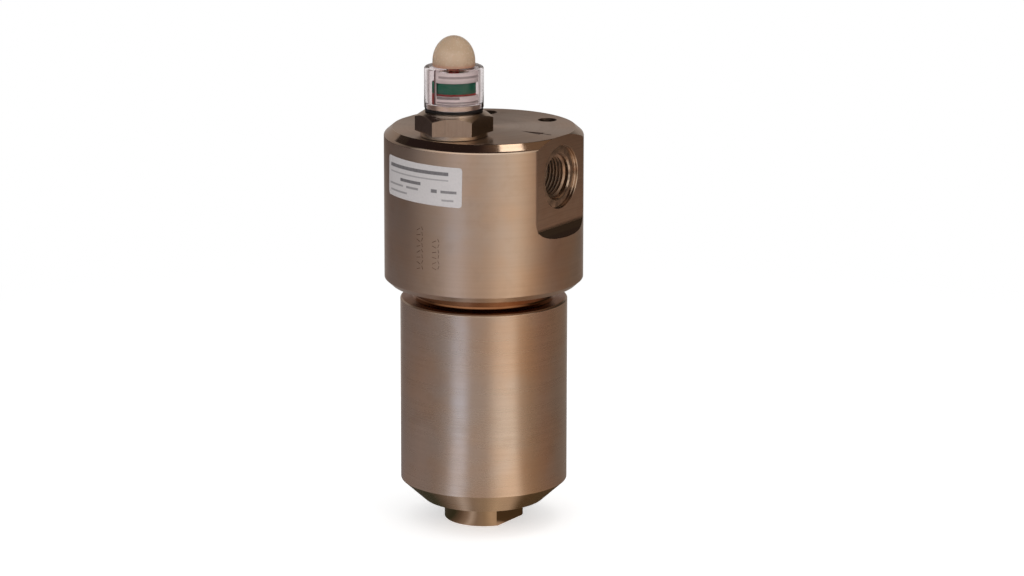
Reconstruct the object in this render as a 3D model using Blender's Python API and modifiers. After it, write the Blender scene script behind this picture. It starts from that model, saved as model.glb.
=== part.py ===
"""High-pressure hydraulic filter in stainless steel, with a clogging indicator.

Lengths are in metres. Z runs up the bowl's axis from the foot of the wrench boss. The inlet
port faces +X, the outlet port -X, and the indicator stands on the head towards -Y.
"""

import math

import bmesh
import bpy
from mathutils import Vector

# Clearances
SEAT_GAP = 0.0003  # between a piece and what it rests on or in
OVERCUT = 0.002  # how far a cutter runs past the face it opens

# How finely round shapes are divided
BODY_STEPS = 48
RING_STEPS = 30
SMALL_STEPS = 24
HOLE_STEPS = 16
RING_SIDES = 6
FILLET_STEPS = 3
COIL_STEPS = 10

# Bowl
BOSS_DIAMETER = 0.038
BOSS_ACROSS_FLATS = 0.030
BOSS_HEIGHT = 0.0105
BOSS_EDGE = 0.0006
BOWL_FOOT_DIAMETER = 0.058
BOWL_TAPER_HEIGHT = 0.010
BOWL_BARREL_LENGTH = 0.0895
BOWL_BORE_DIAMETER = 0.050
BOWL_WALL = 0.015
BOWL_FLOOR = 0.0095
BOWL_FLOOR_FILLET = 0.008
SHOULDER_EDGE = 0.0008

# Neck of the bowl, from the shoulder up: relief, thread, seal land
HEAD_STANDOFF = 0.007
NECK_WALL = 0.0087
RELIEF_DEPTH = 0.0012
RELIEF_FILLET = 0.0015
THREAD_LENGTH = 0.020
THREAD_EDGE = 0.001
SEAL_STEP = 0.002
SEAL_LAND_LENGTH = 0.013
NECK_END_GAP = 0.002
BOWL_RING_SECTION = 0.0022
BACKUP_RING_HEIGHT = 0.0012
LAND_ABOVE_GROOVE = 0.003

# Head
HEAD_DIAMETER = 0.095
TOP_EDGE_INSET = 0.0039
TOP_EDGE_DROP = 0.0033
LOWER_EDGE_INSET = 0.0032
LOWER_EDGE_RISE = 0.0029
SPIGOT_DIAMETER = 0.022
SPIGOT_LENGTH = 0.018
SPIGOT_EDGE = 0.001
CLEAN_BORE_DIAMETER = 0.014

# Ports
PORT_FLAT_DEPTH = 0.0043
PORT_FLAT_DROP = 0.022
FLAT_RUNOUT_RADIUS = 0.0065
PORT_BORE_DIAMETER = 0.0186
PORT_MOUTH_DIAMETER = 0.0220
SPOT_FACE_DIAMETER = 0.030
SPOT_FACE_DEPTH = 0.0015
PORT_WEB = 0.0117
PORT_COVER = 0.0102
DIRTY_PASSAGE_DIAMETER = 0.012
DRILL_POINT_ANGLE = 31

# Tapped holes in the top face
MOUNTING_CIRCLE_RADIUS = 0.034
MOUNTING_ANGLES = (60, 120)
MOUNTING_CORE_DIAMETER = 0.0068
MOUNTING_MOUTH_DIAMETER = 0.0080
MOUNTING_DEPTH = 0.016

# Filter element
ELEMENT_CLEARANCE = 0.003
ELEMENT_TOP_GAP = 0.006
ELEMENT_FLOOR_GAP = 0.010
TOP_CAP_HEIGHT = 0.008
BOTTOM_CAP_HEIGHT = 0.005
CAP_SKIRT = 0.004
CAP_SKIRT_WALL = 0.0007
ELEMENT_RING_SECTION = 0.0018
CORE_WALL = 0.0011
CORE_SPACE = 0.0012
CORE_ROWS = 4
CORE_SLOTS = 6
CORE_SLOT_WIDTH = 0.005
CORE_SLOT_HEIGHT = 0.016
PLEAT_COUNT = 24
PLEAT_SHEET = 0.0009
PLEAT_CREST_SHARE = 0.16
PLEAT_VALLEY_SHARE = 0.10

# Indicator body, heights from the head's top face
INDICATOR_PORT_WEB = 0.0085
COLLAR_INSET = 0.0001
COLLAR_HEIGHT = 0.0022
HEX_ACROSS_FLATS = 0.032
HEX_HEIGHT = 0.0095
HEX_TOP_LAND_DIAMETER = 0.0284
HEX_TOP_ANGLE = 33
BARREL_SPIGOT_DIAMETER = 0.0248
SPIGOT_ENGAGEMENT = 0.0022
SHANK_DIAMETER = 0.0194
SHANK_LENGTH = 0.016
PILOT_DIAMETER = 0.0174
PILOT_LENGTH = 0.008
FLANGE_RING_DIAMETER = 0.026
FLANGE_RING_SECTION = 0.0016
SHANK_RING_SECTION = 0.0013
SHANK_BOTTOM_GAP = 0.001
DIRTY_DRILLING_DIAMETER = 0.004
CLEAN_DRILLING_DIAMETER = 0.003
CLEAN_DRILLING_ANGLE = 37
CROSS_DRILLING_DIAMETER = 0.0025

# Piston drive
PISTON_BORE_DIAMETER = 0.011
MAGNET_BORE_DIAMETER = 0.0082
MAGNET_DIAMETER = 0.0074
PISTON_MAGNET_HEIGHT = 0.003
PISTON_TRAVEL = 0.003
PISTON_LAND_HEIGHT = 0.005
PISTON_ROD_DIAMETER = 0.0048
RETAINER_HEIGHT = 0.0032
SEPARATING_WALL = 0.0024
RANGE_SPRING_LENGTH = 0.020
RANGE_SPRING_WIRE = 0.0008
RANGE_SPRING_TURNS = 6

# Clear barrel and what shows in it
BARREL_SKIRT_WALL = 0.0013
BARREL_HEIGHT = 0.0193
BARREL_EDGE = 0.0012
BARREL_RING_HEIGHT = 0.0014
BARREL_BORE_DIAMETER = 0.0231
FOIL_THICKNESS = 0.0003
FOIL_ARC = 250
FOIL_START = -107
WINDOW_ABOVE_FOIL_FOOT = 0.0041
WINDOW_HEIGHT = 0.00605
WINDOW_POST_ARC = 5
DRUM_CLEARANCE = 0.0008
DRUM_RED_HEIGHT = 0.0052
DRUM_GREEN_HEIGHT = 0.0053
DRUM_TRAVEL = 0.0048
DRUM_WALL = 0.0019
GREEN_BAND_WALL = 0.0005
DRUM_WEB = 0.0012
DRUM_MAGNET_HEIGHT = 0.0022
CAP_NIPPLE_HEIGHT = 0.0025

# Reset button and protective cap
BUTTON_STEM_DIAMETER = 0.005
BUTTON_STROKE = 0.0025
BUTTON_HEAD_DIAMETER = 0.011
BUTTON_HEAD_HEIGHT = 0.0025
BUTTON_SPRING_LENGTH = 0.005
BUTTON_SPRING_WIRE = 0.0006
BUTTON_SPRING_TURNS = 3
CAP_DIAMETER = 0.0201
CAP_DOME_HEIGHT = 0.012
CAP_WALL = 0.001

# Radii that follow from the sizes above
BOWL_BORE = BOWL_BORE_DIAMETER / 2
BOWL_RADIUS = BOWL_BORE + BOWL_WALL
THREAD_RADIUS = BOWL_BORE + NECK_WALL
LAND_RADIUS = THREAD_RADIUS - SEAL_STEP
RING_GROOVE_RADIUS = LAND_RADIUS - BOWL_RING_SECTION - SEAT_GAP
HEAD_RADIUS = HEAD_DIAMETER / 2
THREAD_BORE = THREAD_RADIUS + SEAT_GAP
SEAL_BORE = LAND_RADIUS + SEAT_GAP
SPIGOT_RADIUS = SPIGOT_DIAMETER / 2
CLEAN_BORE = CLEAN_BORE_DIAMETER / 2
PORT_BORE = PORT_BORE_DIAMETER / 2
PORT_FLAT_X = HEAD_RADIUS - PORT_FLAT_DEPTH
PASSAGE_X = (SPIGOT_RADIUS + BOWL_BORE) / 2
ELEMENT_RADIUS = BOWL_BORE - ELEMENT_CLEARANCE
CAP_BORE = SPIGOT_RADIUS + SEAT_GAP
ELEMENT_GROOVE = CAP_BORE + ELEMENT_RING_SECTION + SEAT_GAP
CORE_INNER = SPIGOT_RADIUS + CORE_SPACE
CORE_OUTER = CORE_INNER + CORE_WALL
SKIRT_INNER = ELEMENT_RADIUS - CAP_SKIRT_WALL
PISTON_BORE = PISTON_BORE_DIAMETER / 2
MAGNET_RADIUS = MAGNET_DIAMETER / 2
BARREL_SPIGOT = BARREL_SPIGOT_DIAMETER / 2
BARREL_RADIUS = BARREL_SPIGOT + SEAT_GAP + BARREL_SKIRT_WALL
BARREL_BORE = BARREL_BORE_DIAMETER / 2
FOIL_OUTER = BARREL_BORE - SEAT_GAP
FOIL_INNER = FOIL_OUTER - FOIL_THICKNESS
DRUM_RADIUS = FOIL_INNER - DRUM_CLEARANCE
CAP_INNER = CAP_DIAMETER / 2 - CAP_WALL
COLLAR_RADIUS = HEX_ACROSS_FLATS / 2 - COLLAR_INSET
SHANK_BORE = SHANK_DIAMETER / 2 + SEAT_GAP
INDICATOR_OFFSET = CLEAN_BORE + INDICATOR_PORT_WEB + SHANK_BORE

# Slopes that follow from the angles above
DRILL_POINT_SLOPE = math.tan(math.radians(DRILL_POINT_ANGLE))
HEX_TOP_SLOPE = math.tan(math.radians(HEX_TOP_ANGLE))
CLEAN_DRILLING_SLOPE = math.tan(math.radians(CLEAN_DRILLING_ANGLE))

# Heights up the bowl's axis that follow from the sizes above
TAPER_TOP = BOSS_HEIGHT + BOWL_TAPER_HEIGHT
SHOULDER = TAPER_TOP + BOWL_BARREL_LENGTH
FLOOR = BOSS_HEIGHT + BOWL_FLOOR
HEAD_BOTTOM = SHOULDER + HEAD_STANDOFF
THREAD_TOP = HEAD_BOTTOM + THREAD_LENGTH
NECK_TOP = THREAD_TOP + SEAL_LAND_LENGTH
CHAMBER_TOP = NECK_TOP + NECK_END_GAP
SPIGOT_END = CHAMBER_TOP - SPIGOT_LENGTH
PORT_HEIGHT = CHAMBER_TOP + PORT_WEB + PORT_BORE
HEAD_TOP = PORT_HEIGHT + PORT_BORE + PORT_COVER
CLEAN_BORE_TOP = PORT_HEIGHT + CLEAN_BORE
ELEMENT_TOP = CHAMBER_TOP - ELEMENT_TOP_GAP
TOP_CAP_FOOT = ELEMENT_TOP - TOP_CAP_HEIGHT
ELEMENT_FOOT = FLOOR + ELEMENT_FLOOR_GAP
BOTTOM_CAP_FACE = ELEMENT_FOOT + BOTTOM_CAP_HEIGHT
RING_GROOVE_TOP = NECK_TOP - LAND_ABOVE_GROOVE
BACKUP_RING_FOOT = RING_GROOVE_TOP - SEAT_GAP - BACKUP_RING_HEIGHT
BOWL_RING_HEIGHT = BACKUP_RING_FOOT - SEAT_GAP - BOWL_RING_SECTION / 2
RING_GROOVE_FOOT = BOWL_RING_HEIGHT - BOWL_RING_SECTION / 2 - SEAT_GAP

# Heights above the head's top face that follow from the sizes above
COLLAR_FOOT = SEAT_GAP
HEX_FOOT = COLLAR_HEIGHT
HEX_TOP = HEX_FOOT + HEX_HEIGHT
BARREL_RING_FOOT = HEX_TOP + SEAT_GAP
BARREL_FOOT = BARREL_RING_FOOT + BARREL_RING_HEIGHT + SEAT_GAP
BARREL_TOP = BARREL_FOOT + BARREL_HEIGHT
BODY_TOP = BARREL_FOOT + SPIGOT_ENGAGEMENT
BARREL_STEP = BODY_TOP + SEAT_GAP
DRUM_FOOT = BODY_TOP + SEAT_GAP
DRUM_SPLIT = DRUM_FOOT + DRUM_RED_HEIGHT
DRUM_TOP = DRUM_SPLIT + DRUM_GREEN_HEIGHT
BARREL_CEILING = DRUM_TOP + DRUM_TRAVEL + SEAT_GAP
WEB_FOOT = DRUM_FOOT + DRUM_MAGNET_HEIGHT + SEAT_GAP
WEB_TOP = WEB_FOOT + DRUM_WEB
STEM_FOOT = WEB_TOP + DRUM_TRAVEL + SEAT_GAP + BUTTON_STROKE
NIPPLE_TOP = BARREL_TOP + CAP_NIPPLE_HEIGHT
BUTTON_HEAD_FOOT = NIPPLE_TOP + BUTTON_SPRING_LENGTH + 2 * SEAT_GAP
SHANK_FOOT = -SHANK_LENGTH
PILOT_FOOT = SHANK_FOOT - PILOT_LENGTH
MAGNET_BORE_TOP = BODY_TOP - SEPARATING_WALL
MAGNET_TOP = MAGNET_BORE_TOP - PISTON_TRAVEL - SEAT_GAP
MAGNET_FOOT = MAGNET_TOP - PISTON_MAGNET_HEIGHT
RETAINER_TOP = PILOT_FOOT + SEAT_GAP + RETAINER_HEIGHT
LAND_FOOT = RETAINER_TOP + SEAT_GAP
LAND_TOP = LAND_FOOT + PISTON_LAND_HEIGHT
SPRING_SHOULDER = LAND_TOP + RANGE_SPRING_LENGTH + 2 * SEAT_GAP
SHANK_RING_HEIGHT = (SHANK_FOOT + PILOT_FOOT) / 2
CROSS_DRILLING_HEIGHT = LAND_TOP + PISTON_TRAVEL + CROSS_DRILLING_DIAMETER / 2

SHARP_ANGLE = math.radians(32)


def collection(name):
    made = bpy.data.collections.new(name)
    bpy.context.scene.collection.children.link(made)
    return made


def clear_scene():
    for obj in list(bpy.data.objects):
        bpy.data.objects.remove(obj, do_unlink=True)


clear_scene()
PARTS = collection("hydraulic_pressure_filter")
CUTTERS = collection("cutters")


def finish(name, colour, roughness, metallic=0.0, alpha=1.0):
    """A named material with one Principled BSDF."""
    made = bpy.data.materials.new(name)
    made.use_nodes = True
    shader = made.node_tree.nodes["Principled BSDF"]
    shader.inputs["Base Color"].default_value = (*colour, 1.0)
    shader.inputs["Roughness"].default_value = roughness
    shader.inputs["Metallic"].default_value = metallic
    shader.inputs["Alpha"].default_value = alpha
    return made


def placed(obj, material=None, parent=None, at=(0, 0, 0), turn=(0, 0, 0)):
    """Puts an object in its collection; one without a material is a cutter."""
    obj.location = at
    obj.rotation_euler = turn
    obj.parent = parent
    if material:
        PARTS.objects.link(obj)
        obj.data.materials.append(material)
    else:
        CUTTERS.objects.link(obj)
        obj.hide_render = True
        obj.display_type = "WIRE"
    return obj


def axis_empty(name, at):
    """An empty that carries the pieces on one axis."""
    empty = bpy.data.objects.new(name, None)
    empty.location = at
    PARTS.objects.link(empty)
    return empty


def crisp(mesh):
    mesh.shade_smooth()
    mesh.set_sharp_from_angle(angle=SHARP_ANGLE)


def plain_mesh(obj):
    """Replaces an object's modifiers, or its curve, by the closed mesh that they make."""
    bpy.context.view_layer.update()
    graph = bpy.context.evaluated_depsgraph_get()
    mesh = bpy.data.meshes.new_from_object(obj.evaluated_get(graph))
    shape = bmesh.new()
    shape.from_mesh(mesh)
    bmesh.ops.remove_doubles(shape, verts=shape.verts, dist=1e-6)
    bmesh.ops.recalc_face_normals(shape, faces=shape.faces)
    if shape.calc_volume(signed=True) < 0:
        bmesh.ops.reverse_faces(shape, faces=shape.faces)
    shape.to_mesh(mesh)
    shape.free()
    crisp(mesh)
    return mesh


def turned(name, profile, steps, closed=False, **place):
    """A shape turned about its own Z. The (radius, height) points run down its outer side."""
    outline = bmesh.new()
    points = [outline.verts.new((radius, 0, height)) for radius, height in profile]
    following = points[1:] + points[:1] if closed else points[1:]
    for point, after in zip(points, following):
        outline.edges.new((point, after))
    mesh = bpy.data.meshes.new(name)
    outline.to_mesh(mesh)
    outline.free()
    obj = bpy.data.objects.new(name, mesh)
    bpy.context.scene.collection.objects.link(obj)
    screw = obj.modifiers.new("Turn", "SCREW")
    screw.axis = "Z"
    screw.steps = steps
    screw.render_steps = steps
    screw.use_merge_vertices = True
    screw.merge_threshold = 1e-6
    solid = plain_mesh(obj)
    obj.modifiers.clear()
    obj.data = solid
    bpy.data.meshes.remove(mesh)
    bpy.context.scene.collection.objects.unlink(obj)
    return placed(obj, **place)


def tube(name, inner, outer, foot, top, steps, **place):
    corners = [(inner, top), (outer, top), (outer, foot), (inner, foot)]
    return turned(name, corners, steps, closed=True, **place)


def disc(name, radius, foot, top, steps, **place):
    return turned(name, [(0, top), (radius, top), (radius, foot), (0, foot)], steps, **place)


def seal_ring(name, inner, section, height, steps, **place):
    """A round-section ring that lies in a groove."""
    bpy.ops.mesh.primitive_torus_add(
        major_segments=steps,
        minor_segments=RING_SIDES,
        major_radius=inner + section / 2,
        minor_radius=section / 2,
    )
    obj = bpy.context.object
    obj.name = name
    obj.data.name = name
    crisp(obj.data)
    for holder in list(obj.users_collection):
        holder.objects.unlink(obj)
    return placed(obj, at=(0, 0, height), **place)


def block(name, low, high, **place):
    """A box between two corners."""
    shape = bmesh.new()
    bmesh.ops.create_cube(shape, size=1)
    low, high = Vector(low), Vector(high)
    bmesh.ops.scale(shape, verts=shape.verts, vec=high - low)
    bmesh.ops.translate(shape, verts=shape.verts, vec=(low + high) / 2)
    mesh = bpy.data.meshes.new(name)
    shape.to_mesh(mesh)
    shape.free()
    return placed(bpy.data.objects.new(name, mesh), **place)


def drilling(name, start, end, diameter, parent=None):
    """A round cutter from one point to another."""
    start, end = Vector(start), Vector(end)
    run = end - start
    shape = bmesh.new()
    bmesh.ops.create_cone(
        shape,
        cap_ends=True,
        segments=HOLE_STEPS,
        radius1=diameter / 2,
        radius2=diameter / 2,
        depth=run.length,
    )
    mesh = bpy.data.meshes.new(name)
    shape.to_mesh(mesh)
    shape.free()
    turn = run.to_track_quat("Z", "Y").to_euler()
    obj = bpy.data.objects.new(name, mesh)
    return placed(obj, parent=parent, at=(start + end) / 2, turn=turn)


def cut(obj, *cutters):
    for cutter in cutters:
        boolean = obj.modifiers.new(cutter.name, "BOOLEAN")
        boolean.operation = "DIFFERENCE"
        boolean.solver = "EXACT"
        boolean.object = cutter
    return obj


def coil(name, radius, wire, foot, top, turns, material, parent):
    """A helical spring that starts and ends square to its axis."""
    curve = bpy.data.curves.new(name, "CURVE")
    curve.dimensions = "3D"
    curve.bevel_depth = wire / 2
    curve.bevel_resolution = 1
    curve.use_fill_caps = True
    spline = curve.splines.new("POLY")
    count = turns * COIL_STEPS
    spline.points.add(count)
    low = foot + wire / 2
    high = top - wire / 2
    for index, point in enumerate(spline.points):
        share = index / count
        angle = 2 * math.pi * turns * share
        height = low + (high - low) * share
        point.co = (radius * math.cos(angle), radius * math.sin(angle), height, 1)
    obj = bpy.data.objects.new(name, curve)
    return placed(obj, material=material, parent=parent)


def fillet(centre, radius, start, end):
    """Points on an arc between two angles in degrees, in a (radius, height) profile."""
    angles = [
        math.radians(start + (end - start) * step / FILLET_STEPS)
        for step in range(FILLET_STEPS + 1)
    ]
    return [
        (centre[0] + radius * math.cos(angle), centre[1] + radius * math.sin(angle))
        for angle in angles
    ]


def port_cutter(name, side, depth):
    """Spot face, mouth, bore and drill point of one port, turned about its own Z."""
    face = SPOT_FACE_DEPTH
    mouth = PORT_MOUTH_DIAMETER / 2
    profile = [
        (0, OVERCUT),
        (SPOT_FACE_DIAMETER / 2, OVERCUT),
        (SPOT_FACE_DIAMETER / 2, -face),
        (mouth, -face),
        (PORT_BORE, -face - (mouth - PORT_BORE)),
        (PORT_BORE, -depth),
        (0, -depth - PORT_BORE * DRILL_POINT_SLOPE),
    ]
    turn = (0, side * math.pi / 2, 0)
    at = (side * PORT_FLAT_X, 0, PORT_HEIGHT)
    return turned(name, profile, SMALL_STEPS, at=at, turn=turn)


def port_flat_cutter(name, side):
    """A milled flat that runs out through a quarter round at its foot."""
    far = HEAD_RADIUS + FLAT_RUNOUT_RADIUS
    foot = PORT_HEIGHT - PORT_FLAT_DROP - FLAT_RUNOUT_RADIUS
    low = (PORT_FLAT_X, -HEAD_RADIUS, foot)
    high = (far, HEAD_RADIUS, HEAD_TOP + OVERCUT)
    cutter = block(name, low, high)
    shape = bmesh.new()
    shape.from_mesh(cutter.data)
    inner = [
        edge
        for edge in shape.edges
        if all(vert.co.x < far - OVERCUT and vert.co.z < PORT_HEIGHT for vert in edge.verts)
    ]
    bmesh.ops.bevel(
        shape,
        geom=inner,
        offset=FLAT_RUNOUT_RADIUS,
        offset_type="OFFSET",
        segments=3 * FILLET_STEPS,
        affect="EDGES",
        profile=0.5,
        material=-1,
    )
    shape.to_mesh(cutter.data)
    shape.free()
    cutter.rotation_euler.z = 0 if side > 0 else math.pi
    return cutter


def filter_head(steel, indicator_axis):
    """The head: annular chamber with its spigot, crossing ports and drilled passages."""
    profile = [
        (0, HEAD_TOP),
        (HEAD_RADIUS - TOP_EDGE_INSET, HEAD_TOP),
        (HEAD_RADIUS, HEAD_TOP - TOP_EDGE_DROP),
        (HEAD_RADIUS, HEAD_BOTTOM + LOWER_EDGE_RISE),
        (HEAD_RADIUS - LOWER_EDGE_INSET, HEAD_BOTTOM),
        (THREAD_BORE + THREAD_EDGE, HEAD_BOTTOM),
        (THREAD_BORE, HEAD_BOTTOM + THREAD_EDGE),
        (THREAD_BORE, THREAD_TOP + SEAT_GAP),
        (SEAL_BORE, THREAD_TOP + SEAT_GAP + SEAL_STEP / 2),
        (SEAL_BORE, CHAMBER_TOP),
        (SPIGOT_RADIUS, CHAMBER_TOP),
        (SPIGOT_RADIUS, SPIGOT_END + SPIGOT_EDGE),
        (SPIGOT_RADIUS - SPIGOT_EDGE, SPIGOT_END),
        (CLEAN_BORE, SPIGOT_END),
        (CLEAN_BORE, CLEAN_BORE_TOP),
        (0, CLEAN_BORE_TOP),
    ]
    head = turned("filter_head", profile, BODY_STEPS, material=steel)
    port_depth = PORT_FLAT_X - PASSAGE_X
    dirty_passage = drilling(
        "dirty_passage_cutter",
        (PASSAGE_X, 0, CHAMBER_TOP - OVERCUT),
        (PASSAGE_X, 0, PORT_HEIGHT),
        DIRTY_PASSAGE_DIAMETER,
    )
    clean_passage = drilling(
        "clean_passage_cutter",
        (-PASSAGE_X - OVERCUT, 0, PORT_HEIGHT),
        (0, 0, PORT_HEIGHT),
        CLEAN_BORE_DIAMETER,
    )
    cut(
        head,
        port_flat_cutter("inlet_flat_cutter", 1),
        port_flat_cutter("outlet_flat_cutter", -1),
        port_cutter("inlet_port_cutter", 1, port_depth),
        port_cutter("outlet_port_cutter", -1, port_depth),
        dirty_passage,
        clean_passage,
        *indicator_port_cutters(indicator_axis),
        *mounting_hole_cutters(),
    )
    return head


def indicator_port_cutters(axis):
    """Stepped port of the indicator and the two drillings that feed it."""
    pilot = PILOT_DIAMETER / 2 + SEAT_GAP
    bore_foot = SHANK_FOOT - SEAT_GAP
    port_foot = PILOT_FOOT - SHANK_BOTTOM_GAP
    port = turned(
        "indicator_port_cutter",
        [(0, OVERCUT), (SHANK_BORE, OVERCUT), (SHANK_BORE, bore_foot), (pilot, bore_foot),
         (pilot, port_foot), (0, port_foot)],
        SMALL_STEPS,
        parent=axis,
    )
    chamber_drop = HEAD_TOP - CHAMBER_TOP
    dirty = drilling(
        "dirty_drilling_cutter",
        (0, 0, port_foot + OVERCUT),
        (0, 0, -chamber_drop - OVERCUT),
        DIRTY_DRILLING_DIAMETER,
        parent=axis,
    )
    rise = CLEAN_DRILLING_SLOPE * OVERCUT
    start = Vector((0, SHANK_BORE - OVERCUT, CROSS_DRILLING_HEIGHT + rise))
    reach = INDICATOR_OFFSET - CLEAN_BORE / 2 - start.y
    end = start + Vector((0, reach, -CLEAN_DRILLING_SLOPE * reach))
    clean = drilling("clean_drilling_cutter", start, end, CLEAN_DRILLING_DIAMETER, parent=axis)
    return [port, dirty, clean]


def mounting_hole_cutters():
    mouth = MOUNTING_MOUTH_DIAMETER / 2
    core = MOUNTING_CORE_DIAMETER / 2
    profile = [
        (0, OVERCUT),
        (mouth, OVERCUT),
        (mouth, 0),
        (core, core - mouth),
        (core, -MOUNTING_DEPTH),
        (0, -MOUNTING_DEPTH - core * DRILL_POINT_SLOPE),
    ]
    made = []
    for angle in MOUNTING_ANGLES:
        turn = math.radians(angle)
        at = (
            MOUNTING_CIRCLE_RADIUS * math.cos(turn),
            MOUNTING_CIRCLE_RADIUS * math.sin(turn),
            HEAD_TOP,
        )
        made.append(turned(f"mounting_hole_cutter_{angle}", profile, HOLE_STEPS, at=at))
    return made


def bowl(steel, parent):
    """The screw-in bowl: boss, taper, barrel, and neck with its seal groove."""
    relief = THREAD_RADIUS - RELIEF_DEPTH
    boss = BOSS_DIAMETER / 2
    floor_corner = (BOWL_BORE - BOWL_FLOOR_FILLET, FLOOR + BOWL_FLOOR_FILLET)
    profile = [
        (0, FLOOR),
        *fillet(floor_corner, BOWL_FLOOR_FILLET, -90, 0),
        (BOWL_BORE, NECK_TOP),
        (LAND_RADIUS - THREAD_EDGE, NECK_TOP),
        (LAND_RADIUS, NECK_TOP - THREAD_EDGE),
        (LAND_RADIUS, RING_GROOVE_TOP),
        (RING_GROOVE_RADIUS, RING_GROOVE_TOP),
        (RING_GROOVE_RADIUS, RING_GROOVE_FOOT),
        (LAND_RADIUS, RING_GROOVE_FOOT),
        (LAND_RADIUS, THREAD_TOP),
        (THREAD_RADIUS, THREAD_TOP - SEAL_STEP),
        (THREAD_RADIUS, HEAD_BOTTOM + THREAD_EDGE),
        (relief, HEAD_BOTTOM + THREAD_EDGE - RELIEF_DEPTH),
        *fillet((relief + RELIEF_FILLET, SHOULDER + RELIEF_FILLET), RELIEF_FILLET, 180, 270),
        (BOWL_RADIUS - SHOULDER_EDGE, SHOULDER),
        (BOWL_RADIUS, SHOULDER - SHOULDER_EDGE),
        (BOWL_RADIUS, TAPER_TOP),
        (BOWL_FOOT_DIAMETER / 2, BOSS_HEIGHT),
        (boss, BOSS_HEIGHT),
        (boss, BOSS_EDGE),
        (boss - BOSS_EDGE, 0),
        (0, 0),
    ]
    made = turned("bowl", profile, BODY_STEPS, material=steel, parent=parent)
    flat = BOSS_ACROSS_FLATS / 2
    for side in (-1, 1):
        near, far = sorted((side * flat, side * (boss + OVERCUT)))
        low = (near, -boss - OVERCUT, -OVERCUT)
        high = (far, boss + OVERCUT, BOSS_HEIGHT)
        cut(made, block(f"boss_flat_cutter_{'right' if side > 0 else 'left'}", low, high))
    return made


def bowl_seals(rubber, plastic, parent):
    inner = RING_GROOVE_RADIUS + SEAT_GAP
    seal_ring("bowl_seal_ring", inner, BOWL_RING_SECTION, BOWL_RING_HEIGHT, RING_STEPS,
              material=rubber, parent=parent)
    tube("bowl_backup_ring", inner, LAND_RADIUS, BACKUP_RING_FOOT,
         BACKUP_RING_FOOT + BACKUP_RING_HEIGHT, RING_STEPS, material=plastic, parent=parent)


def pleated_pack(material, foot, top):
    """A folded sheet: rounded folds outside, sharp folds on the core."""
    inner = CORE_OUTER + SEAT_GAP
    outer = SKIRT_INNER - SEAT_GAP
    shape = bmesh.new()
    step = 2 * math.pi / PLEAT_COUNT
    rings = []
    for offset in (0, -PLEAT_SHEET):
        crest = outer + offset
        valley = inner + PLEAT_SHEET + offset
        half_crest = PLEAT_CREST_SHARE * step + offset / crest / 2
        half_valley = PLEAT_VALLEY_SHARE * step - offset / valley / 4
        ring = []
        for fold in range(PLEAT_COUNT):
            middle = fold * step
            for angle, radius in (
                (middle - half_crest, crest - PLEAT_SHEET / 3),
                (middle, crest),
                (middle + half_crest, crest - PLEAT_SHEET / 3),
                (middle + step / 2 - half_valley, valley),
                (middle + step / 2 + half_valley, valley),
            ):
                ring.append(
                    shape.verts.new((radius * math.cos(angle), radius * math.sin(angle), foot))
                )
        for vert, after in zip(ring, ring[1:] + ring[:1]):
            shape.edges.new((vert, after))
        rings.append(ring)
    bmesh.ops.bridge_loops(shape, edges=shape.edges[:])
    lifted = bmesh.ops.extrude_face_region(shape, geom=shape.faces[:])["geom"]
    moved = [item for item in lifted if isinstance(item, bmesh.types.BMVert)]
    bmesh.ops.translate(shape, verts=moved, vec=(0, 0, top - foot))
    bmesh.ops.recalc_face_normals(shape, faces=shape.faces)
    mesh = bpy.data.meshes.new("element_pleats")
    shape.to_mesh(mesh)
    shape.free()
    crisp(mesh)
    return placed(bpy.data.objects.new("element_pleats", mesh), material=material)


def perforated_core(steel, foot, top):
    """The support tube of the element with rows of slots."""
    core = tube("element_core", CORE_INNER, CORE_OUTER, foot, top, SMALL_STEPS, material=steel)
    row_step = (top - foot) / CORE_ROWS
    for slot in range(CORE_SLOTS // 2):
        for row in range(CORE_ROWS):
            middle = foot + (2 * row + 1) * row_step / 2
            half = CORE_SLOT_HEIGHT / 2
            cutter = block(
                f"core_slot_cutter_{slot}_{row}",
                (-CORE_OUTER - OVERCUT, -CORE_SLOT_WIDTH / 2, middle - half),
                (CORE_OUTER + OVERCUT, CORE_SLOT_WIDTH / 2, middle + half),
                turn=(0, 0, math.pi * slot / (CORE_SLOTS // 2)),
            )
            cut(core, cutter)
    return core


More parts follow.
